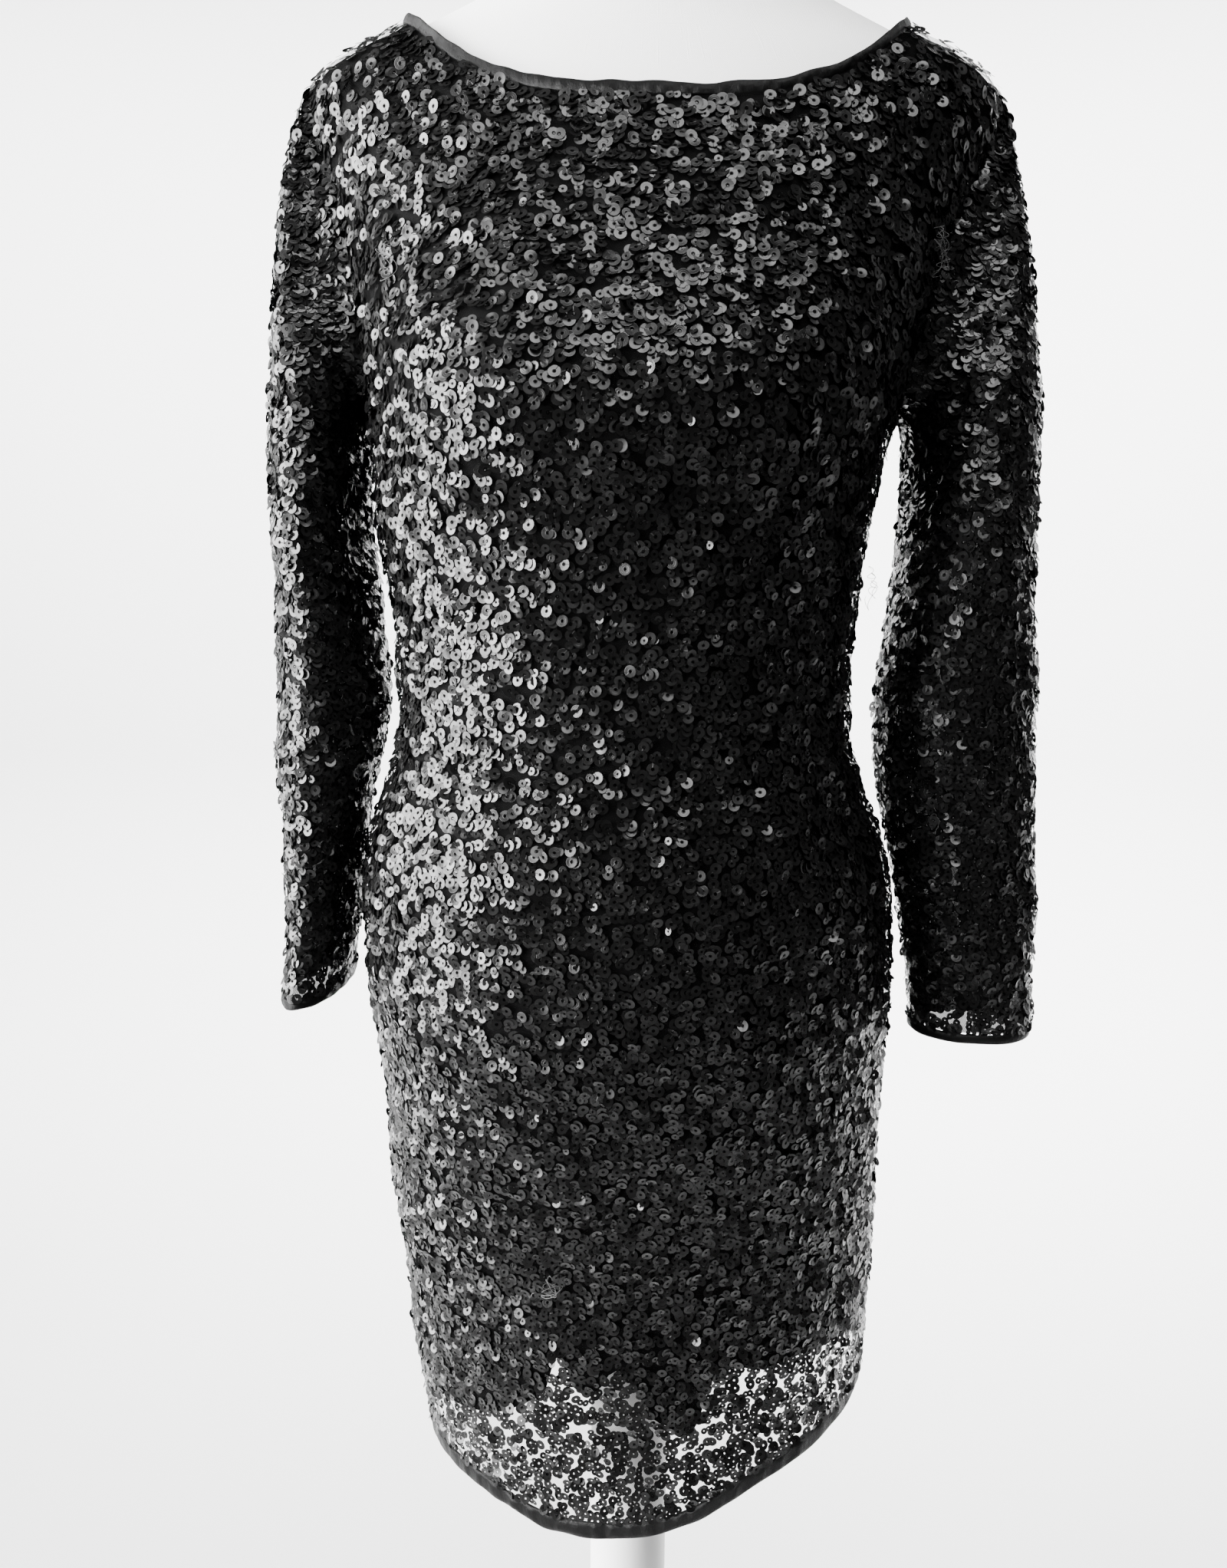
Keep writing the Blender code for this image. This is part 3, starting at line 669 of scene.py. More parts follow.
# ---------------------------------------------------------------- meshes
def build(name, points, faces, uv=None, tones=None, sharp=False):
    """A piece from points and a face array of triangles or quads. uv is per face corner."""
    faces = np.asarray(faces, np.int32)
    mesh = bpy.data.meshes.new(name)
    sides = faces.shape[1]
    mesh.vertices.add(len(points))
    mesh.vertices.foreach_set("co", np.asarray(points, np.float32).ravel())
    mesh.loops.add(faces.size)
    mesh.loops.foreach_set("vertex_index", faces.ravel())
    mesh.polygons.add(len(faces))
    mesh.polygons.foreach_set(
        "loop_start", np.arange(0, faces.size, sides, dtype=np.int32)
    )
    mesh.update(calc_edges=True)
    if uv is not None:
        layer = mesh.uv_layers.new(name="UVMap")
        layer.uv.foreach_set("vector", np.asarray(uv, np.float32).ravel())
    if tones is not None:
        held = mesh.attributes.new("tone", "FLOAT", "FACE")
        held.data.foreach_set("value", np.asarray(tones, np.float32))
    if not sharp:
        mesh.shade_smooth()
    mesh.validate()
    made = bpy.data.objects.new(name, mesh)
    bpy.context.scene.collection.objects.link(made)
    return made


def grid_faces(rows, columns, round_it=False):
    cells = columns if round_it else columns - 1
    i, k = np.meshgrid(np.arange(rows - 1), np.arange(cells), indexing="ij")
    n = (k + 1) % columns
    return np.stack(
        [i * columns + k, i * columns + n, (i + 1) * columns + n, (i + 1) * columns + k],
        -1,
    ).reshape(-1, 4)


def facing(points, faces, normals):
    """The faces, turned over if they face against the normals."""
    a, b, c = (points[faces[:, k]] for k in (0, 1, 2))
    way = (np.cross(b - a, c - a) * normals[faces[:, 0]]).sum()
    return faces if way > 0 else faces[:, ::-1]


def cloth_mesh(name, surface):
    """A single wall of cloth with its places across and up as its UV, in metres."""
    rows, columns = surface.points.shape[:2]
    points = surface.points.reshape(-1, 3)
    faces = grid_faces(rows, columns)
    faces = facing(points, faces, surface.normals.reshape(-1, 3))
    flat = np.stack(
        [
            surface.across,
            np.broadcast_to(surface.up[:, None], surface.across.shape),
        ],
        -1,
    ).reshape(-1, 2)
    return build(name, points, faces, uv=flat[faces.ravel()])


def tube_band(name, rows, normals, out, thick, pulls, segments=14):
    """A bound edge: a flat tube through rows (low to high) of points round it, thick
    through the cloth, its outer side gathered by pulls (a function of the points)."""
    rows = np.asarray(rows)
    count = rows.shape[1]
    turn = 2 * math.pi * np.arange(segments) / segments
    lift = np.sign(np.cos(turn)) * np.abs(np.cos(turn)) ** 0.55
    deep = np.sign(np.sin(turn)) * np.abs(np.sin(turn)) ** 0.70
    places = (lift + 1) / 2 * (len(rows) - 1)
    low = np.clip(places.astype(int), 0, len(rows) - 2)
    share = (places - low)[:, None, None]
    base = rows[low] * (1 - share) + rows[low + 1] * share
    move = out + deep[:, None] * thick / 2
    base = base + move[..., None] * normals[None]
    bulge = np.clip(deep, 0, 1)[:, None] * pulls(base, (lift[:, None] + 1) / 2)
    points = base + bulge[..., None] * normals[None]
    around = np.concatenate(
        [[0], np.cumsum(np.linalg.norm(np.diff(rows[0], axis=0), axis=1))]
    )
    ends = np.append(around, around[-1] + np.linalg.norm(rows[0][0] - rows[0][-1]))
    faces = grid_faces(segments, count, True)
    last = grid_faces(2, count, True)
    last = np.where(last >= count, last - count, last + (segments - 1) * count)
    faces = np.concatenate([faces, last])
    flat_points = points.reshape(-1, 3)
    centre = base.mean(0)
    outwards = (points - centre[None]).reshape(-1, 3)
    faces = facing(flat_points, faces, outwards)
    # UV: along the band, and across it
    col = faces % count
    row = faces // count
    seam = (col == 0) & (col.max(1, keepdims=True) == count - 1)
    u = ends[np.where(seam, count, col)]
    v = places[row] / (len(rows) - 1)
    return build(name, flat_points, faces, uv=np.stack([u, v], -1).reshape(-1, 2))


def lathe(name, profile, centre, sides=96):
    """A turned piece from (radius, z) rows, closed at both ends on its axis."""
    turn = 2 * math.pi * np.arange(sides) / sides
    rings = np.array(
        [
            np.stack(
                [
                    centre[0] + r * np.cos(turn),
                    centre[1] + r * np.sin(turn),
                    np.full(sides, z),
                ],
                -1,
            )
            for r, z in profile
        ]
    )
    points = rings.reshape(-1, 3)
    faces = grid_faces(len(profile), sides, True)
    triangles = np.concatenate([faces[:, [0, 1, 2]], faces[:, [0, 2, 3]]])
    low = len(points)
    points = np.concatenate(
        [
            points,
            [[*centre, profile[0][1]], [*centre, profile[-1][1]]],
        ]
    )
    k = np.arange(sides)
    n = (k + 1) % sides
    top = (len(profile) - 1) * sides
    caps = np.concatenate(
        [
            np.stack([n, k, np.full(sides, low)], -1),
            np.stack([top + k, top + n, np.full(sides, low + 1)], -1),
        ]
    )
    made = build(name, points, np.concatenate([triangles, caps]))
    made.data.set_sharp_from_angle(angle=math.radians(35))
    return made


# ---------------------------------------------------------------- sequins
def meander(width, height, cell, seed, step):
    """One closed line that visits every cell of a rectangle: it runs round a random tree
    that joins blocks of two by two cells, as the machine's line of stitching wanders."""
    wide, high = int(width / cell / 2) + 1, int(height / cell / 2) + 1
    made = np.random.default_rng(seed)
    parent = np.arange(wide * high)

    def root(a):
        while parent[a] != a:
            parent[a] = parent[parent[a]]
            a = parent[a]
        return a

    j, i = np.meshgrid(np.arange(wide), np.arange(high))
    block = (i * wide + j).ravel()
    right = block[(j < wide - 1).ravel()]
    above = block[(i < high - 1).ravel()]
    joins = np.concatenate(
        [
            np.stack([right, right + 1, np.zeros_like(right)], -1),
            np.stack([above, above + wide, np.ones_like(above)], -1),
        ]
    )
    joins = joins[made.permutation(len(joins))]
    columns = 2 * wide

    def fine(b, up, over):
        return (2 * (b // wide) + up) * columns + 2 * (b % wide) + over

    follow = np.empty(4 * wide * high, int)
    follow[fine(block, 0, 0)] = fine(block, 0, 1)
    follow[fine(block, 0, 1)] = fine(block, 1, 1)
    follow[fine(block, 1, 1)] = fine(block, 1, 0)
    follow[fine(block, 1, 0)] = fine(block, 0, 0)
    for a, b, upward in joins:
        ra, rb = root(a), root(b)
        if ra == rb:
            continue
        parent[ra] = rb
        if upward:
            follow[fine(a, 1, 1)] = fine(b, 0, 1)
            follow[fine(b, 0, 0)] = fine(a, 1, 0)
        else:
            follow[fine(a, 0, 1)] = fine(b, 0, 0)
            follow[fine(b, 1, 0)] = fine(a, 1, 1)
    order = np.empty(len(follow), int)
    at = 0
    for k in range(len(follow)):
        order[k] = at
        at = follow[at]
    line = np.stack([order % columns, order // columns], -1) * cell
    line = line - [0.5 * columns * cell, cell]
    for _ in range(1):
        line = 0.25 * np.roll(line, 1, 0) + 0.5 * line + 0.25 * np.roll(line, -1, 0)
    drift = [Ripple(seed + k, (0.018, 0.060), ways=2) for k in (1, 2)]
    line = line + 0.0010 * np.stack([drift[0](line), drift[1](line)], -1)
    length = np.concatenate(
        [[0], np.cumsum(np.linalg.norm(np.diff(line, axis=0), axis=1))]
    )
    steps = np.arange(0, length[-1], step)
    steps = steps + made.normal(0, 0.00045, len(steps))
    line = np.stack([np.interp(steps, length, line[:, k]) for k in (0, 1)], -1)
    return line + made.normal(0, 0.00042, line.shape)


def unit(vectors):
    return vectors / np.maximum(np.linalg.norm(vectors, axis=-1, keepdims=True), 1e-12)


def disc(outer, inner):
    """A sequin's flat pattern: points of unit radius with a hole, and its triangles."""
    a = 2 * math.pi * (np.arange(outer) + 0.5) / outer
    b = 2 * math.pi * (np.arange(inner) + 0.5) / inner
    flat = np.concatenate(
        [
            np.stack([np.cos(a), np.sin(a)], -1),
            0.225 * np.stack([np.cos(b), np.sin(b)], -1),
        ]
    )
    triangles = []
    k = n = 0
    while k < outer or n < inner:
        # step on whichever ring is behind
        if n >= inner or (k < outer and (k + 1) / outer <= (n + 1) / inner):
            triangles.append((k % outer, (k + 1) % outer, outer + n % inner))
            k += 1
        else:
            triangles.append((k % outer, outer + (n + 1) % inner, outer + n % inner))
            n += 1
    return flat, np.array(triangles)


def sequins(name, surface, seed, margin=0.0010, split=None, closer=1.0, turned=0.0):
    """The sequins of one cloth, as one joined mesh or, past split, as several."""
    wide = surface.across.max() - surface.across.min()
    high = surface.up[-1]
    middle = 0.5 * (surface.across.max() + surface.across.min())
    line = meander(
        wide + 0.02, high + 0.02, LINE_CELL * closer, seed, SEQUIN_STEP * closer
    )
    line = line + [middle, -0.0034]
    # the lowest row lies along the bound edge
    low = line[:, 1]
    near = (low > -0.0022) & (low < 0.0006)
    line[:, 1] = np.where(near, 0.0006 + 0.25 * (low + 0.0022), low)
    row, at, inside = surface.places(line)
    centre = surface.sample(surface.points, row, at)
    normal = unit(surface.sample(surface.normals, row, at))
    ahead = unit(np.roll(centre, -1, 0) - np.roll(centre, 1, 0))
    ahead = unit(ahead - (ahead * normal).sum(1)[:, None] * normal)
    # keep them off the bound edges
    shrink = np.stack([line[:, 0], line[:, 1]], -1)
    for way in ((margin, 0), (-margin, 0), (0, margin), (0, -0.2 * margin)):
        inside &= surface.places(shrink + np.array(way))[2]
    keep = np.flatnonzero(inside)
    made = np.random.default_rng(seed + 7)
    keep = keep[made.uniform(size=len(keep)) > 0.025]  # a few are lost
    centre, normal, ahead = centre[keep], normal[keep], ahead[keep]
    count = len(keep)
    aside = np.cross(normal, ahead)
    small = made.uniform(size=count) < SMALL_SHARE
    radius = np.where(small, SMALL_SEQUIN, LARGE_SEQUIN) * made.normal(1, 0.02, count)
    scale_tilt = np.tan(np.radians(made.normal(9.0, 4.0, count)))
    ease_a = TILT_A(centre)
    ease_b = TILT_B(centre)
    lean_a = scale_tilt + np.tan(np.radians(made.normal(0, 7.0, count)))
    lean_b = np.tan(np.radians(made.normal(0, 8.5, count)))
    # they hang from their thread, so they look up a little, most where the cloth leans back
    hang = 0.13 + 0.30 * np.clip(normal[:, 2], 0, 0.6)
    loose = made.uniform(size=count) < 0.045
    lean_a = np.where(loose, made.normal(0, 0.42, count), lean_a)
    lean_b = np.where(loose, made.normal(0, 0.42, count), lean_b)
    facing_way = unit(
        normal
        - lean_a[:, None] * ahead
        - lean_b[:, None] * aside
        + (0.055 * ease_a + turned * np.clip(-normal[:, 1], 0, 1))[:, None] * np.array([1.0, 0, 0])
        + (0.055 * ease_b + hang)[:, None] * np.array([0, 0, 1.0])
    )
    first = unit(ahead - (ahead * facing_way).sum(1)[:, None] * facing_way)
    second = np.cross(facing_way, first)
    steep = np.sqrt(lean_a**2 + lean_b**2)
    lift = 0.00030 + radius * np.minimum(steep, 0.5) * 0.80
    lift = lift + made.uniform(0, 0.00035, count)
    middle_point = centre + lift[:, None] * normal
    spin = np.radians(made.normal(0, 16, count))
    bend_way = made.uniform(0, math.pi, count)
    bend = made.normal(0, 0.045, count)  # rise at the rim over the radius
    pieces = []
    for kind, (outer, inner) in ((False, (12, 4)), (True, (10, 4))):
        flat, triangles = disc(outer, inner)
        pick = np.flatnonzero(small == kind)
        x = flat[:, 0][None] * np.cos(spin[pick])[:, None]
        x = x - flat[:, 1][None] * np.sin(spin[pick])[:, None]
        y = flat[:, 0][None] * np.sin(spin[pick])[:, None]
        y = y + flat[:, 1][None] * np.cos(spin[pick])[:, None]
        far = x * np.cos(bend_way[pick])[:, None] + y * np.sin(bend_way[pick])[:, None]
        reach_out = np.hypot(flat[:, 0], flat[:, 1])[None]
        up = bend[pick][:, None] * far**2 + 0.030 * reach_out**2
        size = radius[pick][:, None, None]
        points = middle_point[pick][:, None] + size * (
            x[..., None] * first[pick][:, None]
            + y[..., None] * second[pick][:, None]
            + up[..., None] * facing_way[pick][:, None]
        )
        pieces.append((pick, points, flat, triangles))
    tone = made.uniform(size=count)
    limits = [(0, count)] if split is None else split
    found = []
    for part, (low, high_end) in enumerate(limits):
        all_points, all_faces, all_uv, all_tone, start = [], [], [], [], 0
        for pick, points, flat, triangles in pieces:
            if split is None:
                chosen = np.arange(len(pick))
            else:
                level = centre[pick][:, 2]
                chosen = np.flatnonzero((level >= low) & (level < high_end))
            many, each = len(chosen), len(flat)
            all_points.append(points[chosen].reshape(-1, 3))
            faces = triangles[None] + (np.arange(many) * each)[:, None, None] + start
            all_faces.append(faces.reshape(-1, 3))
            all_uv.append(
                np.broadcast_to(
                    (flat[triangles] * 0.5 + 0.5)[None], (many, *triangles.shape, 2)
                ).reshape(-1, 2)
            )
            all_tone.append(np.repeat(tone[pick[chosen]], len(triangles)))
            start += many * each
        piece_name = name if split is None else f"{name}_{('lower', 'upper')[part]}"
        found.append(
            build(
                piece_name,
                np.concatenate(all_points),
                np.concatenate(all_faces),
                uv=np.concatenate(all_uv),
                tones=np.concatenate(all_tone),
            )
        )
    return found, count


TILT_A = Ripple(21, (0.012, 0.040), count=14)
TILT_B = Ripple(22, (0.012, 0.040), count=14)


# ---------------------------------------------------------------- materials
class Nodes:
    """A short way to write a material's nodes."""

    def __init__(self, name):
        self.material = bpy.data.materials.new(name)
        self.material.use_nodes = True
        self.tree = self.material.node_tree
        self.shader = self.tree.nodes["Principled BSDF"]
        self.output = self.tree.nodes["Material Output"]

    def add(self, kind, inputs=None, **settings):
        node = self.tree.nodes.new(kind)
        for key, value in settings.items():
            setattr(node, key, value)
        for key, value in (inputs or {}).items():
            self.put(node.inputs[key], value)
        return node

    def put(self, socket, value):
        if isinstance(value, bpy.types.NodeSocket):
            self.tree.links.new(value, socket)
        else:
            socket.default_value = value

    def maths(self, what, a, b=None, c=None, clamp=False):
        node = self.tree.nodes.new("ShaderNodeMath")
        node.operation = what
        node.use_clamp = clamp
        for socket, value in zip(node.inputs, (a, b, c)):
            if value is not None:
                self.put(socket, value)
        return node.outputs[0]

    def ramp(self, value, low, high, to_low=0.0, to_high=1.0):
        node = self.add(
            "ShaderNodeMapRange",
            {
                "Value": value,
                "From Min": low,
                "From Max": high,
                "To Min": to_low,
                "To Max": to_high,
            },
            interpolation_type="SMOOTHSTEP",
        )
        return node.outputs[0]

    def mix(self, share, a, b):
        node = self.tree.nodes.new("ShaderNodeMix")
        node.data_type = "RGBA"
        self.put(node.inputs["Factor"], share)
        self.put(node.inputs[6], a)
        self.put(node.inputs[7], b)
        return node.outputs[2]

    def noise(self, where, scale, detail=2.0, rough=0.5):
        return self.add(
            "ShaderNodeTexNoise",
            {"Vector": where, "Scale": scale, "Detail": detail, "Roughness": rough},
        ).outputs["Fac"]

    def bump(self, height, strength, distance, normal=None):
        inputs = {"Height": height, "Strength": strength, "Distance": distance}
        if normal is not None:
            inputs["Normal"] = normal
        return self.add("ShaderNodeBump", inputs).outputs[0]

    def split(self, vector):
        node = self.add("ShaderNodeSeparateXYZ", {"Vector": vector})
        return node.outputs[0], node.outputs[1], node.outputs[2]

    def join(self, x, y, z=0.0):
        return self.add("ShaderNodeCombineXYZ", {"X": x, "Y": y, "Z": z}).outputs[0]

    def set(self, **values):
        for key, value in values.items():
            self.put(self.shader.inputs[key.replace("_", " ")], value)

    def finish(self):
        return self.material


def grey(value, warm=0.0):
    return (value * (1 + warm), value, value * (1 - warm), 1.0)


def sequin_material():
    """Pressed plastic film: nearly black, satin, a stitched thread from hole to rim."""
    m = Nodes("sequin_film")
    m.shader.inputs["IOR"].default_value = 1.42
    m.set(Coat_Weight=0.02, Coat_Roughness=0.18)
    uv = m.add("ShaderNodeUVMap", uv_map="UVMap").outputs[0]
    u, v, _ = m.split(uv)
    u = m.maths("SUBTRACT", u, 0.5)
    v = m.maths("SUBTRACT", v, 0.5)
    away = m.maths("MULTIPLY", m.maths("POWER", m.maths("ADD", m.maths("MULTIPLY", u, u), m.maths("MULTIPLY", v, v)), 0.5), 2.0)
    tone = m.add("ShaderNodeAttribute", attribute_name="tone").outputs["Fac"]
    place = m.add("ShaderNodeTexCoord").outputs["Object"]
    # thread: a thin dark line from the hole to the rim
    beside = m.maths("ABSOLUTE", v)
    line = m.ramp(beside, 0.018, 0.034, 1.0, 0.0)
    line = m.maths("MULTIPLY", line, m.maths("LESS_THAN", u, 0.0))
    scuff = m.noise(place, 900.0, 1.0, 0.6)
    waves = m.noise(place, 190.0, 0.0, 0.4)
    rim = m.ramp(away, 0.90, 1.0)
    lip = m.ramp(m.maths("ABSOLUTE", m.maths("SUBTRACT", away, 0.34)), 0.0, 0.07, 1.0, 0.0)
    # the edge of the hole is in shade under the stitches
    core = m.ramp(away, 0.26, 0.35, 1.0, 0.0)
    ring = m.ramp(m.maths("ABSOLUTE", m.maths("SUBTRACT", away, 0.64)), 0.0, 0.06, 1.0, 0.0)
    ring = m.maths("MULTIPLY", ring, m.maths("GREATER_THAN", tone, 0.72))
    colour = m.mix(tone, grey(0.0006), grey(0.0040, 0.02))
    # painted shade: each sequin's colour is darkened at its rim for the shadow that overlapping sequins
    # cast on one another
    colour = m.mix(m.maths("MULTIPLY", rim, 0.85), colour, grey(0.0004))
    colour = m.mix(m.maths("MULTIPLY", scuff, 0.25), colour, grey(0.004))
    colour = m.mix(line, colour, grey(0.003))
    colour = m.mix(core, colour, grey(0.0003))
    m.set(Base_Color=colour)
    # less specular in the shaded hole and, as painted shade, at the rim
    dull = m.maths("ADD", m.maths("MULTIPLY", core, 0.92), m.maths("MULTIPLY", rim, 0.50), clamp=True)
    m.set(Specular_IOR_Level=m.maths("MULTIPLY", m.maths("SUBTRACT", 1.0, dull), 0.44))
    rough = m.ramp(tone, 0.0, 1.0, 0.27, 0.17)
    rough = m.maths("ADD", rough, m.maths("MULTIPLY", scuff, 0.09))
    rough = m.maths("ADD", rough, m.maths("MULTIPLY", line, 0.45))
    m.set(Roughness=rough)
    height = m.maths("MULTIPLY", waves, 1.0)
    height = m.maths("ADD", height, m.maths("MULTIPLY", rim, -0.12))
    height = m.maths("ADD", height, m.maths("MULTIPLY", lip, 0.10))
    height = m.maths("ADD", height, m.maths("MULTIPLY", ring, 0.07))
    height = m.maths("ADD", height, m.maths("MULTIPLY", line, 0.16))
    m.set(Normal=m.bump(height, 0.55, 0.00045))
    return m.finish()


def net_material(name, ground, threads):
    """Black knitted net: fine slanting threads with open meshes between them."""
    m = Nodes(name)
    uv = m.add("ShaderNodeUVMap", uv_map="UVMap").outputs[0]
    s, t, _ = m.split(uv)
    sway = m.maths("MULTIPLY", m.maths("SINE", m.maths("MULTIPLY", t, 310.0)), 0.00022)
    s = m.maths("ADD", s, sway)
    pitch = 1 / 0.00105
    p = m.maths("MULTIPLY", m.maths("ADD", s, m.maths("MULTIPLY", t, 0.62)), pitch)
    q = m.maths("MULTIPLY", m.maths("SUBTRACT", s, m.maths("MULTIPLY", t, 0.62)), pitch)
    lines = []
    for value in (p, q):
        gap = m.maths("ABSOLUTE", m.maths("SUBTRACT", m.maths("FRACT", value), 0.5))
        lines.append(m.ramp(gap, 0.05, 0.13, 1.0, 0.0))
    thread = m.maths("MAXIMUM", lines[0], lines[1])
    twist = m.ramp(m.maths("SINE", m.maths("MULTIPLY", t, 2 * math.pi / 0.00035)), -1.0, 1.0)
    m.set(
        Base_Color=m.mix(twist, grey(0.0008), grey(0.0034)),
        Roughness=0.6,
    )
    m.shader.inputs["Specular IOR Level"].default_value = 0.04
    height = m.maths("ADD", thread, m.maths("MULTIPLY", twist, 0.3))
    m.set(Normal=m.bump(height, 0.6, 0.00018))
    m.set(Alpha=m.maths("ADD", ground, m.maths("MULTIPLY", thread, threads)))
    return m.finish()


def lining_material():
    """Fine black jersey behind the net."""
    m = Nodes("lining")
    uv = m.add("ShaderNodeUVMap", uv_map="UVMap").outputs[0]
    s, t, _ = m.split(uv)
    rib = m.maths("SINE", m.maths("MULTIPLY", s, 2 * math.pi / 0.0011))
    course = m.maths("SINE", m.maths("MULTIPLY", t, 2 * math.pi / 0.0008))
    knit = m.maths("MULTIPLY", rib, course)
    fluff = m.noise(uv, 2200.0, 2.0)
    share = m.ramp(knit, -1.0, 1.0)
    m.set(
        Base_Color=m.mix(share, grey(0.0006), grey(0.0026)),
        Roughness=m.maths("ADD", 0.55, m.maths("MULTIPLY", fluff, 0.2)),
    )
    m.shader.inputs["Specular IOR Level"].default_value = 0.03
    m.set(Normal=m.bump(m.maths("ADD", knit, fluff), 0.5, 0.00015))
    return m.finish()


def binding_material():
    """Black satin bias strip: threads run slantwise, with a soft sheen across them."""
    m = Nodes("satin_binding")
    uv = m.add("ShaderNodeUVMap", uv_map="UVMap").outputs[0]
    u, v, _ = m.split(uv)
    slant = m.maths("ADD", u, m.maths("MULTIPLY", v, 0.006))
    warp = m.maths("SINE", m.maths("MULTIPLY", slant, 2 * math.pi / 0.00034))
    uneven = m.noise(m.join(m.maths("MULTIPLY", u, 420.0), m.maths("MULTIPLY", v, 1.4)), 1.0, 3.0, 0.6)
    streak = m.noise(m.join(m.maths("MULTIPLY", u, 2600.0), m.maths("MULTIPLY", v, 2.2)), 1.0, 2.0)
    colour = m.mix(uneven, grey(0.0008), grey(0.0036, 0.01))
    m.set(Base_Color=colour)
    m.set(Roughness=m.ramp(streak, 0.2, 0.8, 0.30, 0.46))
    m.shader.inputs["Specular IOR Level"].default_value = 0.12
    m.shader.inputs["Sheen Weight"].default_value = 0.004
    m.shader.inputs["Sheen Roughness"].default_value = 0.35
    m.shader.inputs["Anisotropic"].default_value = 0.5
    edge = m.ramp(m.maths("ABSOLUTE", m.maths("SUBTRACT", v, 0.90)), 0.0, 0.05, 1.0, 0.0)
    stitch = m.ramp(m.maths("SINE", m.maths("MULTIPLY", u, 2 * math.pi / 0.0026)), -0.2, 0.6)
    stitch = m.maths("MULTIPLY", edge, stitch)
    height = m.maths("ADD", m.maths("MULTIPLY", warp, 0.12), m.maths("MULTIPLY", uneven, 1.6))
    height = m.maths("ADD", height, m.maths("MULTIPLY", streak, 0.3))
    height = m.maths("SUBTRACT", height, m.maths("MULTIPLY", stitch, 0.5))
    m.set(Normal=m.bump(height, 0.5, 0.0006))
    return m.finish()


def linen_material():
    """White linen stretched over the form: plain weave with slubs."""
    m = Nodes("linen")
    place = m.add("ShaderNodeTexCoord").outputs["Object"]
    x, y, z = m.split(place)
    around = m.maths("MULTIPLY", m.maths("ARCTAN2", m.maths("SUBTRACT", x, FORM_X), y), 0.115)
    wander = m.noise(place, 60.0, 2.0)
    warp_at = m.maths("ADD", around, m.maths("MULTIPLY", wander, 0.0012))
    weft_at = m.maths("ADD", z, m.maths("MULTIPLY", wander, 0.0009))
    warp = m.maths("SINE", m.maths("MULTIPLY", warp_at, 2 * math.pi / 0.00085))
    weft = m.maths("SINE", m.maths("MULTIPLY", weft_at, 2 * math.pi / 0.00075))
    weave = m.maths("MULTIPLY", warp, weft)
    slub_up = m.noise(m.join(m.maths("MULTIPLY", around, 900.0), m.maths("MULTIPLY", z, 40.0)), 1.0, 2.0)
    slub_on = m.noise(m.join(m.maths("MULTIPLY", around, 30.0), m.maths("MULTIPLY", z, 1000.0)), 1.0, 2.0)
    slub = m.maths("MAXIMUM", m.ramp(slub_up, 0.55, 0.80), m.ramp(slub_on, 0.60, 0.85))
    shade = m.ramp(weave, -1.0, 1.0)
    colour = m.mix(shade, grey(0.80, 0.006), grey(0.90, 0.004))
    colour = m.mix(m.maths("MULTIPLY", slub, 0.35), colour, grey(0.95))
    m.set(Base_Color=colour, Roughness=0.92)
    m.shader.inputs["Sheen Weight"].default_value = 0.15
    m.shader.inputs["Sheen Roughness"].default_value = 0.6
    height = m.maths("ADD", m.maths("MULTIPLY", weave, 0.5), slub)
    m.set(Normal=m.bump(height, 0.35, 0.00022))
    return m.finish()


def paint_material():
    """White powder-coated steel: a faint orange-peel and a little wear."""
    m = Nodes("white_paint")
    place = m.add("ShaderNodeTexCoord").outputs["Object"]
    peel = m.noise(place, 620.0, 2.0, 0.45)
    cloud = m.noise(place, 14.0, 3.0, 0.55)
    speck = m.ramp(m.noise(place, 340.0, 2.0, 0.6), 0.74, 0.80)
    colour = m.mix(cloud, grey(0.78, 0.006), grey(0.86, 0.004))
    colour = m.mix(m.maths("MULTIPLY", speck, 0.35), colour, grey(0.55))
    m.set(Base_Color=colour, Roughness=m.ramp(cloud, 0.2, 0.8, 0.36, 0.48))
    m.set(Normal=m.bump(peel, 0.25, 0.00025))
    return m.finish()


def thread_material():
    m = Nodes("thread")
    place = m.add("ShaderNodeTexCoord").outputs["Object"]
    ply = m.noise(place, 5200.0, 2.0)
    m.set(Base_Color=m.mix(ply, grey(0.006), grey(0.026)), Roughness=0.6)
    m.set(Normal=m.bump(ply, 0.5, 0.00008))
    m.shader.inputs["Sheen Weight"].default_value = 0.3
    return m.finish()


def wall_material(name, value):
    m = Nodes(name)
    place = m.add("ShaderNodeTexCoord").outputs["Object"]
    cloud = m.noise(place, 3.0, 1.0, 0.6)
    grain = m.noise(place, 70.0, 1.0, 0.6)
    # painted shade: the floor in front of the form is painted darker than the floor and wall behind it,
    # for the dim room in front
    depth = m.split(place)[1]
    colour_with_painted_shade = m.mix(m.ramp(depth, -0.25, 0.35), grey(value * 0.55), grey(value))
    m.set(Base_Color=m.mix(m.maths("MULTIPLY", cloud, 0.04), colour_with_painted_shade, grey(value * 0.8)), Roughness=0.9)
    m.set(Normal=m.bump(grain, 0.15, 0.001))
    return m.finish()


SEQUIN = sequin_material()
NET = net_material("sequin_net", 0.20, 0.42)
SLEEVE_NET = net_material("sequin_net_sleeve", 0.88, 0.11)
LINING = lining_material()
BINDING = binding_material()
LINEN = linen_material()
PAINT = paint_material()
THREAD = thread_material()


def dress_up(made, material, nodes=()):
    made.data.materials.clear()
    made.data.materials.append(material)
    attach(made, "root")
    if nodes:
        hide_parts(*nodes)
    return made


# ---------------------------------------------------------------- build
PANEL_BASE = {front: panel_points(front, None) for front in (True, False)}
PANEL_ROWS = {}

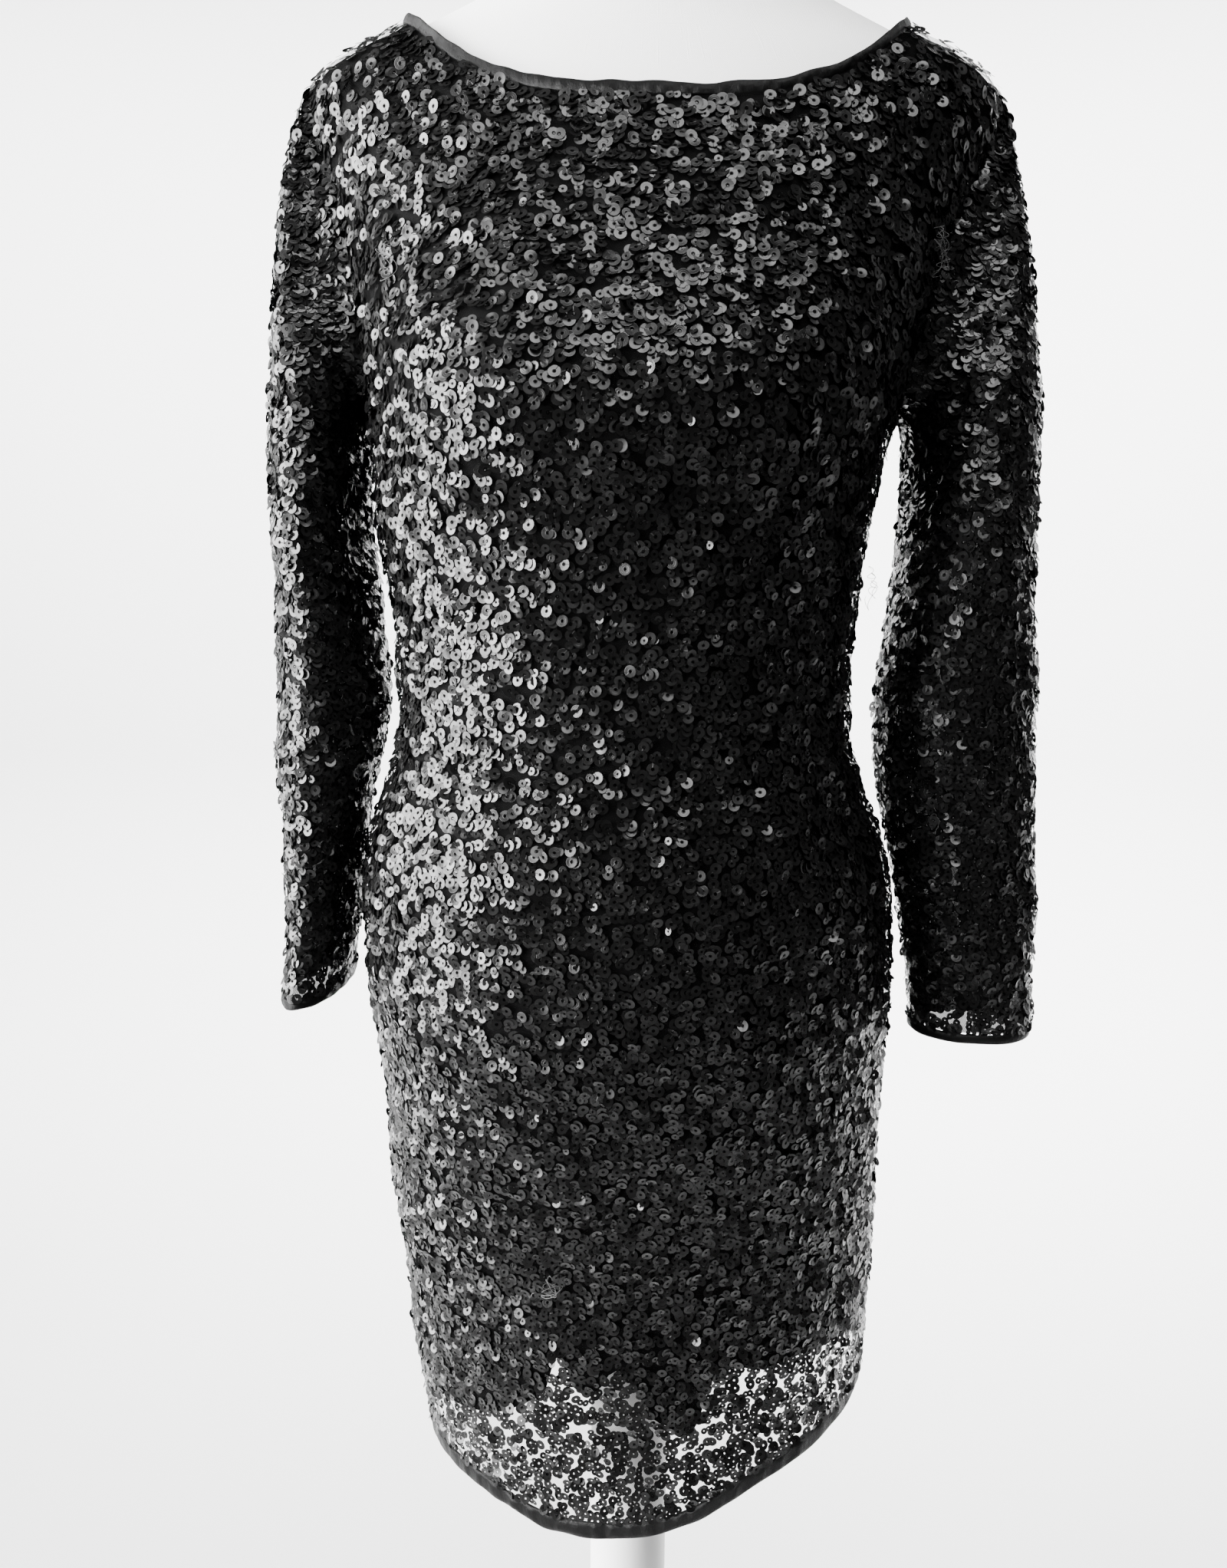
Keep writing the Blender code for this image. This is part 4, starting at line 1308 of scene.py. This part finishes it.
counted = {}
nets, sheets, spangles = {}, {}, {}
for front in (True, False):
    name = "front" if front else "back"
    points, normals = panel_cloth(front, PANEL_BASE[front], NET_OUT, None)
    surface = Surface(points, normals)
    sheets[name] = surface
    net = cloth_mesh(f"net_{name}", surface)
    dress_up(net, NET, [name])
    nets[name] = net
    found, counted[name] = sequins(
        f"sequins_{name}", surface, 101 if front else 202, split=[(0, 0.93), (0.93, 2)]
    )
    for piece in found:
        dress_up(piece, SEQUIN)
    spangles[name] = found

for side in ("left", "right"):
    name = f"sleeve_{side}"
    inside, walls = sleeve_points(side)
    points = inside + 0.0007 * walls
    fade = np.clip(np.arange(len(points)) / 5.0, 0, 1)[:, None]
    points = points + (relief(points) * fade)[..., None] * walls
    normals = grid_normals(points, True, walls)
    # rows run upwards, from the cuff, as on the panels
    surface = Surface(points[::-1], normals[::-1], round_it=True)
    sheets[name] = surface
    net = cloth_mesh(f"net_{name}", surface)
    dress_up(net, SLEEVE_NET, [name])
    nets[name] = net
    found, counted[name] = sequins(f"sequins_{name}", surface, 303 if side == "left" else 404, margin=0.0004, closer=SLEEVE_CLOSER, turned=SLEEVE_TURN[side])
    for piece in found:
        dress_up(piece, SEQUIN)
    spangles[name] = found

# the lining
held = (PANEL_COLUMNS, LOWER_ROWS, UPPER_ROWS, SHOULDER_COLUMNS)
PANEL_COLUMNS, LOWER_ROWS, UPPER_ROWS, SHOULDER_COLUMNS = 84, 36, 16, 14
for front in (True, False):
    name = "front" if front else "back"
    base = panel_points(front, lining_edge(front))
    points, normals = panel_cloth(front, base, LINING_OUT, None)
    surface = Surface(points, normals)
    sheets[f"lining_{name}"] = surface
    made = cloth_mesh(f"jersey_{name}", surface)
    dress_up(made, LINING, [f"lining_{name}"])
PANEL_COLUMNS, LOWER_ROWS, UPPER_ROWS, SHOULDER_COLUMNS = held


# ---------------------------------------------------------------- bound edges
def gathers(seed, size, length, fall=1.0):
    """The pulls of a strip that is sewn on a little tight."""
    made = np.random.default_rng(seed)
    waves = [Ripple(seed + k, (length * 0.6, length * 1.8), ways=2) for k in (1, 2)]
    lift = made.uniform(0, 1)

    def pulls(points, share):
        around = np.arctan2(points[..., 1] - 0.02, points[..., 0] - FORM_X) * 0.13
        where = np.stack([around, points[..., 2] * 0.12 + lift], -1)
        return size * (0.7 * waves[0](where) + 0.5 * np.abs(waves[1](where)) - 0.1) * (
            1 - fall * np.abs(2 * share - 1) ** 3
        )

    return pulls


def finer(ring, times):
    """More points on a closed ring, on a smooth curve through the ones it has."""
    count = len(ring)
    at = np.arange(count * times) / times
    k = at.astype(int)
    t = (at - k)[:, None]
    a, b, c, d = (ring[(k + n) % count] for n in (-1, 0, 1, 2))
    return 0.5 * (
        2 * b + (c - a) * t + (2 * a - 5 * b + 4 * c - d) * t**2
        + (3 * b - a - 3 * c + d) * t**3
    )


def hem_rows():
    levels = []
    for share in np.linspace(0, 1, 5):
        ring = []
        for front in (True, False):
            x = evenly_across(HEM_Z, front, 300)
            z = hem_height(x) + HEM_BAND * share
            points = front_or_back(
                body_middle(z)
                + (x - body_middle(HEM_Z)) / body(HEM_Z, "half") * body(z, "half"),
                z,
                front,
            )
            for end in (0, -1):
                points[end, 1] = body(z[end], "side")
            ring.append(points[:-1] if front else points[:0:-1])
        levels.append(np.concatenate(ring))
    return np.stack(levels)


rows = hem_rows()
normals = body_normals(rows[2])
waver = Ripple(31, (0.012, 0.045))
rows[0, :, 2] += 0.0006 * waver(rows[0])
rows[1, :, 2] += 0.0004 * waver(rows[0])
hem = tube_band(
    "binding_hem", rows, normals, NET_OUT + 0.0002, BAND_WALL, gathers(41, 0.00055, 0.010)
)
dress_up(hem, BINDING, ["hem_binding"])

first, last = SHOULDER_COLUMNS, PANEL_COLUMNS - SHOULDER_COLUMNS
edge = np.concatenate(
    [PANEL_BASE[True][-1, first : last + 1], PANEL_BASE[False][-1, first : last + 1][-2:0:-1]]
)
edge = finer(edge, 4)
normals = body_normals(edge)
along = np.roll(edge, -1, 0) - np.roll(edge, 1, 0)
way = unit(np.cross(normals, along))
inwards = edge.mean(0) + np.array([0, 0, 0.05]) - edge
way *= np.sign((way * inwards).sum(1))[:, None]
way = unit(way + 0.6 * normals)
wave = Ripple(32, (0.010, 0.035))
neck_rows = np.stack(
    [
        edge + (SEAM_GAP + (NECK_BAND * t + 0.0004 * t * wave(edge))[:, None]) * way
        for t in (-0.35, 0.0, 0.3, 0.65, 1.0)
    ]
)
neck = tube_band(
    "binding_neck", neck_rows, normals, 0.0048, BAND_WALL * 0.9, gathers(43, 0.00030, 0.007), segments=12
)
dress_up(neck, BINDING, ["neck_binding"])

cuffs = {}
for side in ("left", "right"):
    inside, walls = sleeve_points(side)
    ring = finer(inside[-1], 3)
    out = unit(finer(walls[-1], 3) * [1, 1, 0])
    wave = Ripple(33 if side == "left" else 34, (0.010, 0.030))
    cuff_rows = np.stack(
        [
            ring - (SEAM_GAP + (CUFF_BAND * t + 0.0004 * t * wave(ring)))[:, None] * np.array([0, 0, 1.0])
            for t in (1.0, 0.75, 0.5, 0.25, 0.0)
        ]
    )
    made = tube_band(
        f"binding_cuff_{side}", cuff_rows, out, 0.0008, BAND_WALL, gathers(45 if side == "left" else 46, 0.00040, 0.008), segments=12
    )
    cuffs[side] = dress_up(made, BINDING, [f"cuff_binding_{side}"])


# ---------------------------------------------------------------- the form
def torso():
    sides = 96
    heights = np.concatenate(
        [
            np.linspace(FORM_BOTTOM_Z + FORM_ROUND, 1.28, 44),
            np.linspace(1.288, 1.41, 34),
            np.linspace(1.416, FORM_TOP_Z - FORM_ROUND, 6),
        ]
    )
    rounding = [
        (FORM_ROUND * (1 - math.cos(a)), FORM_ROUND * (1 - math.sin(a)))
        for a in np.radians(np.linspace(0, 80, 7))
    ]
    rings = [(FORM_BOTTOM_Z + up, inwards) for up, inwards in rounding]
    rings += [(z, 0.0) for z in heights]
    rings += [(FORM_TOP_Z - up, inwards) for up, inwards in rounding[::-1]]
    turn = 2 * math.pi * np.arange(sides) / sides
    loops = []
    for z, inwards in rings:
        level = np.full(sides, z)
        x = body_middle(z) + body(z, "half") * np.cos(turn)
        fore = front_or_back(x, level, True)
        aft = front_or_back(x, level, False)
        points = np.where((np.sin(turn) > 0)[:, None], fore, aft)
        points[np.abs(np.sin(turn)) < 1e-6, 1] = body(z, "side")
        normals = body_normals(points) * [1, 1, 0]
        loops.append(points - (inwards + FORM_INSET) * normals)
    # flat ends: rings drawn in to the middle
    for end, z in ((0, FORM_BOTTOM_Z), (-1, FORM_TOP_Z)):
        ring = loops[end]
        centre = ring.mean(0)
        extra = [centre + (ring - centre) * k for k in (0.985, 0.8, 0.4, 0.004)]
        for r in extra:
            if end == 0:
                loops.insert(0, r)
            else:
                loops.append(r)
    grid = np.stack(loops)
    points = grid.reshape(-1, 3)
    faces = grid_faces(len(grid), sides, True)
    outwards = points - np.array([body_middle(1.0), 0.0, 1.0]) * [1, 1, 0] - points * [0, 0, 1]
    faces = facing(points, faces, outwards)
    return build("linen_torso", points, faces)


dress_up(torso(), LINEN, ["form_torso"])

pole = lathe(
    "pole",
    [
        (POLE_RADIUS - 0.0012, BASE_HEIGHT + 0.0003),
        (POLE_RADIUS - 0.0004, BASE_HEIGHT + 0.0007),
        (POLE_RADIUS, BASE_HEIGHT + 0.0015),
        (POLE_RADIUS, 0.20),
        (POLE_RADIUS, 0.40),
        (POLE_RADIUS, FORM_BOTTOM_Z - 0.0008),
        (POLE_RADIUS - 0.0005, FORM_BOTTOM_Z - 0.0003),
    ],
    (FORM_X, 0.0),
)
dress_up(pole, PAINT, ["form_pole"])
bevel = [
    (BASE_RADIUS - 0.003 * (1 - math.sin(a)), 0.003 * (1 - math.cos(a)))
    for a in np.radians(np.linspace(0, 90, 7))
]
base = lathe(
    "base",
    [(r, z) for r, z in bevel]
    + [(r, BASE_HEIGHT - z) for r, z in bevel[::-1]]
    + [(0.10, BASE_HEIGHT), (0.03, BASE_HEIGHT)],
    (FORM_X, 0.0),
    sides=144,
)
dress_up(base, PAINT, ["form_base"])


# ---------------------------------------------------------------- loose threads
def curl(start, away, seed, length=0.060, size=0.0045, turns=5.0):
    """A curly end of sewing thread that has worked loose, as points along it."""
    made = np.random.default_rng(seed)
    n = 90
    t = np.linspace(0, 1, n)
    phase = made.uniform(0, 2 * math.pi, 3)
    side = unit(np.cross(away, [0.12, 0.2, 1.0]))
    up = np.cross(side, away)
    drop = np.array([0, 0, -1.0])
    wave = turns * 2 * math.pi * (t**0.85)
    reach_out = 0.0022 + 0.0030 * np.sin(math.pi * t)
    return (
        np.asarray(start)
        + reach_out[:, None] * away
        + (size * np.sin(wave + phase[0]) * (0.4 + t))[:, None] * side
        + (size * 0.9 * np.cos(wave * 0.83 + phase[1]) * (0.4 + t))[:, None] * up
        + (0.0016 * np.sin(wave * 1.7 + phase[2]))[:, None] * away
        + (length * 0.30 * t)[:, None] * drop
    )


def thread_mesh(name, lines, radius=0.00014, sides=5):
    all_points, all_faces, start = [], [], 0
    for line in lines:
        ahead = unit(np.gradient(line, axis=0))
        side = unit(np.cross(ahead, [0.31, 0.22, 0.93]))
        up = np.cross(ahead, side)
        turn = 2 * math.pi * np.arange(sides) / sides
        taper = np.clip(np.minimum(np.arange(len(line)), np.arange(len(line))[::-1]) / 2.0, 0.15, 1)
        ring = line[:, None] + (radius * taper)[:, None, None] * (
            np.cos(turn)[None, :, None] * side[:, None]
            + np.sin(turn)[None, :, None] * up[:, None]
        )
        all_points.append(ring.reshape(-1, 3))
        faces = grid_faces(len(line), sides, True)
        triangles = np.concatenate([faces[:, [0, 1, 2]], faces[:, [0, 2, 3]]])
        fan = [(0, k + 1, k) for k in range(1, sides - 1)]
        end = (len(line) - 1) * sides
        fan += [(end, end + k, end + k + 1) for k in range(1, sides - 1)]
        all_faces.append(np.concatenate([triangles, np.array(fan)]) + start)
        start += len(line) * sides
    return build(name, np.concatenate(all_points), np.concatenate(all_faces))


def on_panel(front, x, z):
    """A point of the dress's surface and the way out of it."""
    point = front_or_back(np.array([x]), np.array([z]), front)
    normal = body_normals(point)
    return (point + (NET_OUT + 0.0008) * normal)[0], normal[0]


lines = []
for x, z, seed, length in (
    (0.118, 1.262, 51, 0.050),
    (0.120, 1.255, 52, 0.040),
    (0.102, 1.098, 53, 0.060),
    (-0.130, 1.245, 54, 0.036),
    (-0.060, 0.705, 55, 0.030),
):
    start, away = on_panel(True, x, z)
    lines.append(curl(start, away, seed, length))
for x, z, seed, length in ((0.03, 1.285, 61, 0.040), (-0.09, 0.86, 62, 0.034)):
    start, away = on_panel(False, x, z)
    lines.append(curl(start, away, seed, length))
threads = thread_mesh("loose_threads", lines)
dress_up(threads, THREAD)


for name in ("front", "back", "sleeve_left", "sleeve_right"):
    going = [piece.name for piece in spangles[name]]
    if name == "front":
        going += [neck.name, hem.name, threads.name]
    if name.startswith("sleeve"):
        going += [cuffs[name[7:]].name]


# ---------------------------------------------------------------- floor, light and camera
def backdrop():
    """A pale floor that curves up into a wall behind."""
    wide, near, far, bend, tall = 6.0, -4.0, 1.9, 0.6, 4.5
    line = [(near, 0.0), (-1.0, 0.0), (0.0, 0.0), (far - bend, 0.0)]
    line += [
        (far - bend + bend * math.sin(a), bend * (1 - math.cos(a)))
        for a in np.radians(np.linspace(6, 90, 15))
    ]
    line += [(far, 1.5), (far, tall)]
    across = np.linspace(-wide, wide, 9)
    points = np.array([[x, y, z] for y, z in line for x in across])
    faces = grid_faces(len(line), len(across))
    return build("backdrop", points, faces)


floor = backdrop()
floor.location.z = -0.0002
floor.data.materials.append(wall_material("backdrop_paint", 0.90))
floor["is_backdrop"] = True


def area_light(name, place, target, size, power, colour=(1, 1, 1)):
    data = bpy.data.lights.new(name, "AREA")
    data.shape = "RECTANGLE"
    data.size, data.size_y = size
    data.energy = power
    data.color = colour
    made = bpy.data.objects.new(name, data)
    bpy.context.scene.collection.objects.link(made)
    place, target = np.array(place, float), np.array(target, float)
    back = unit(place - target)
    right = unit(np.cross([0, 0, 1.0], back))
    up = np.cross(back, right)
    turn = np.eye(4)
    turn[:3, 0], turn[:3, 1], turn[:3, 2], turn[:3, 3] = right, up, back, place
    made.matrix_world = Matrix(turn.tolist())
    return made


window = area_light("window", (-1.55, -0.42, 1.30), (0.0, 0.0, 1.05), (1.7, 2.1), 130.0)
window.data.spread = math.radians(76)
ceiling = area_light("ceiling", (0.10, -0.95, 2.8), (0.02, 0.0, 1.15), (1.8, 1.3), 17.0)
ceiling.data.spread = math.radians(72)
wash = area_light("wall_wash", (0.0, 0.42, 2.9), (0.0, 1.75, 1.0), (4.2, 0.6), 230.0)
wash.data.spread = math.radians(84)

cycles = bpy.context.scene.cycles
cycles.max_bounces = 4
cycles.diffuse_bounces = 2
cycles.glossy_bounces = 2
cycles.transparent_max_bounces = 12

world = bpy.data.worlds.new("room")
bpy.context.scene.world = world
world.use_nodes = True
world.node_tree.nodes["Background"].inputs["Color"].default_value = (1, 1, 1, 1)
world.node_tree.nodes["Background"].inputs["Strength"].default_value = 0.10

FOCAL_PIXELS, LONG_SIDE = 1600.0, 2044.0
CAMERA_AT = (FORM_X - 0.01415, -0.69, 1.132)
CAMERA_PITCH, CAMERA_ROLL = math.radians(13.0), math.radians(0.51)
camera_data = bpy.data.cameras.new("camera")
camera_data.sensor_width = 36.0
camera_data.lens = 36.0 * FOCAL_PIXELS / LONG_SIDE
camera_data.clip_start, camera_data.clip_end = 0.02, 50.0
camera = bpy.data.objects.new("camera", camera_data)
bpy.context.scene.collection.objects.link(camera)
ahead = np.array([0.0, math.cos(CAMERA_PITCH), -math.sin(CAMERA_PITCH)])
right = np.array([1.0, 0.0, 0.0])
up = np.cross(right, ahead)
right = right * math.cos(CAMERA_ROLL) + up * math.sin(CAMERA_ROLL)
up = np.cross(right, ahead)
turn = np.eye(4)
turn[:3, 0], turn[:3, 1], turn[:3, 2], turn[:3, 3] = right, up, -ahead, CAMERA_AT
camera.matrix_world = Matrix(turn.tolist())
bpy.context.scene.camera = camera

total = 0
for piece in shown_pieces():
    if piece.type == "MESH":
        sides = sum(len(p.vertices) - 2 for p in piece.data.polygons[:4])
        each = max(1, sides // 4) if len(piece.data.polygons) >= 4 else 1
        here = each * len(piece.data.polygons)
        total += here
        print("piece", piece.name, here)
print("triangles", total, "sequins", counted)
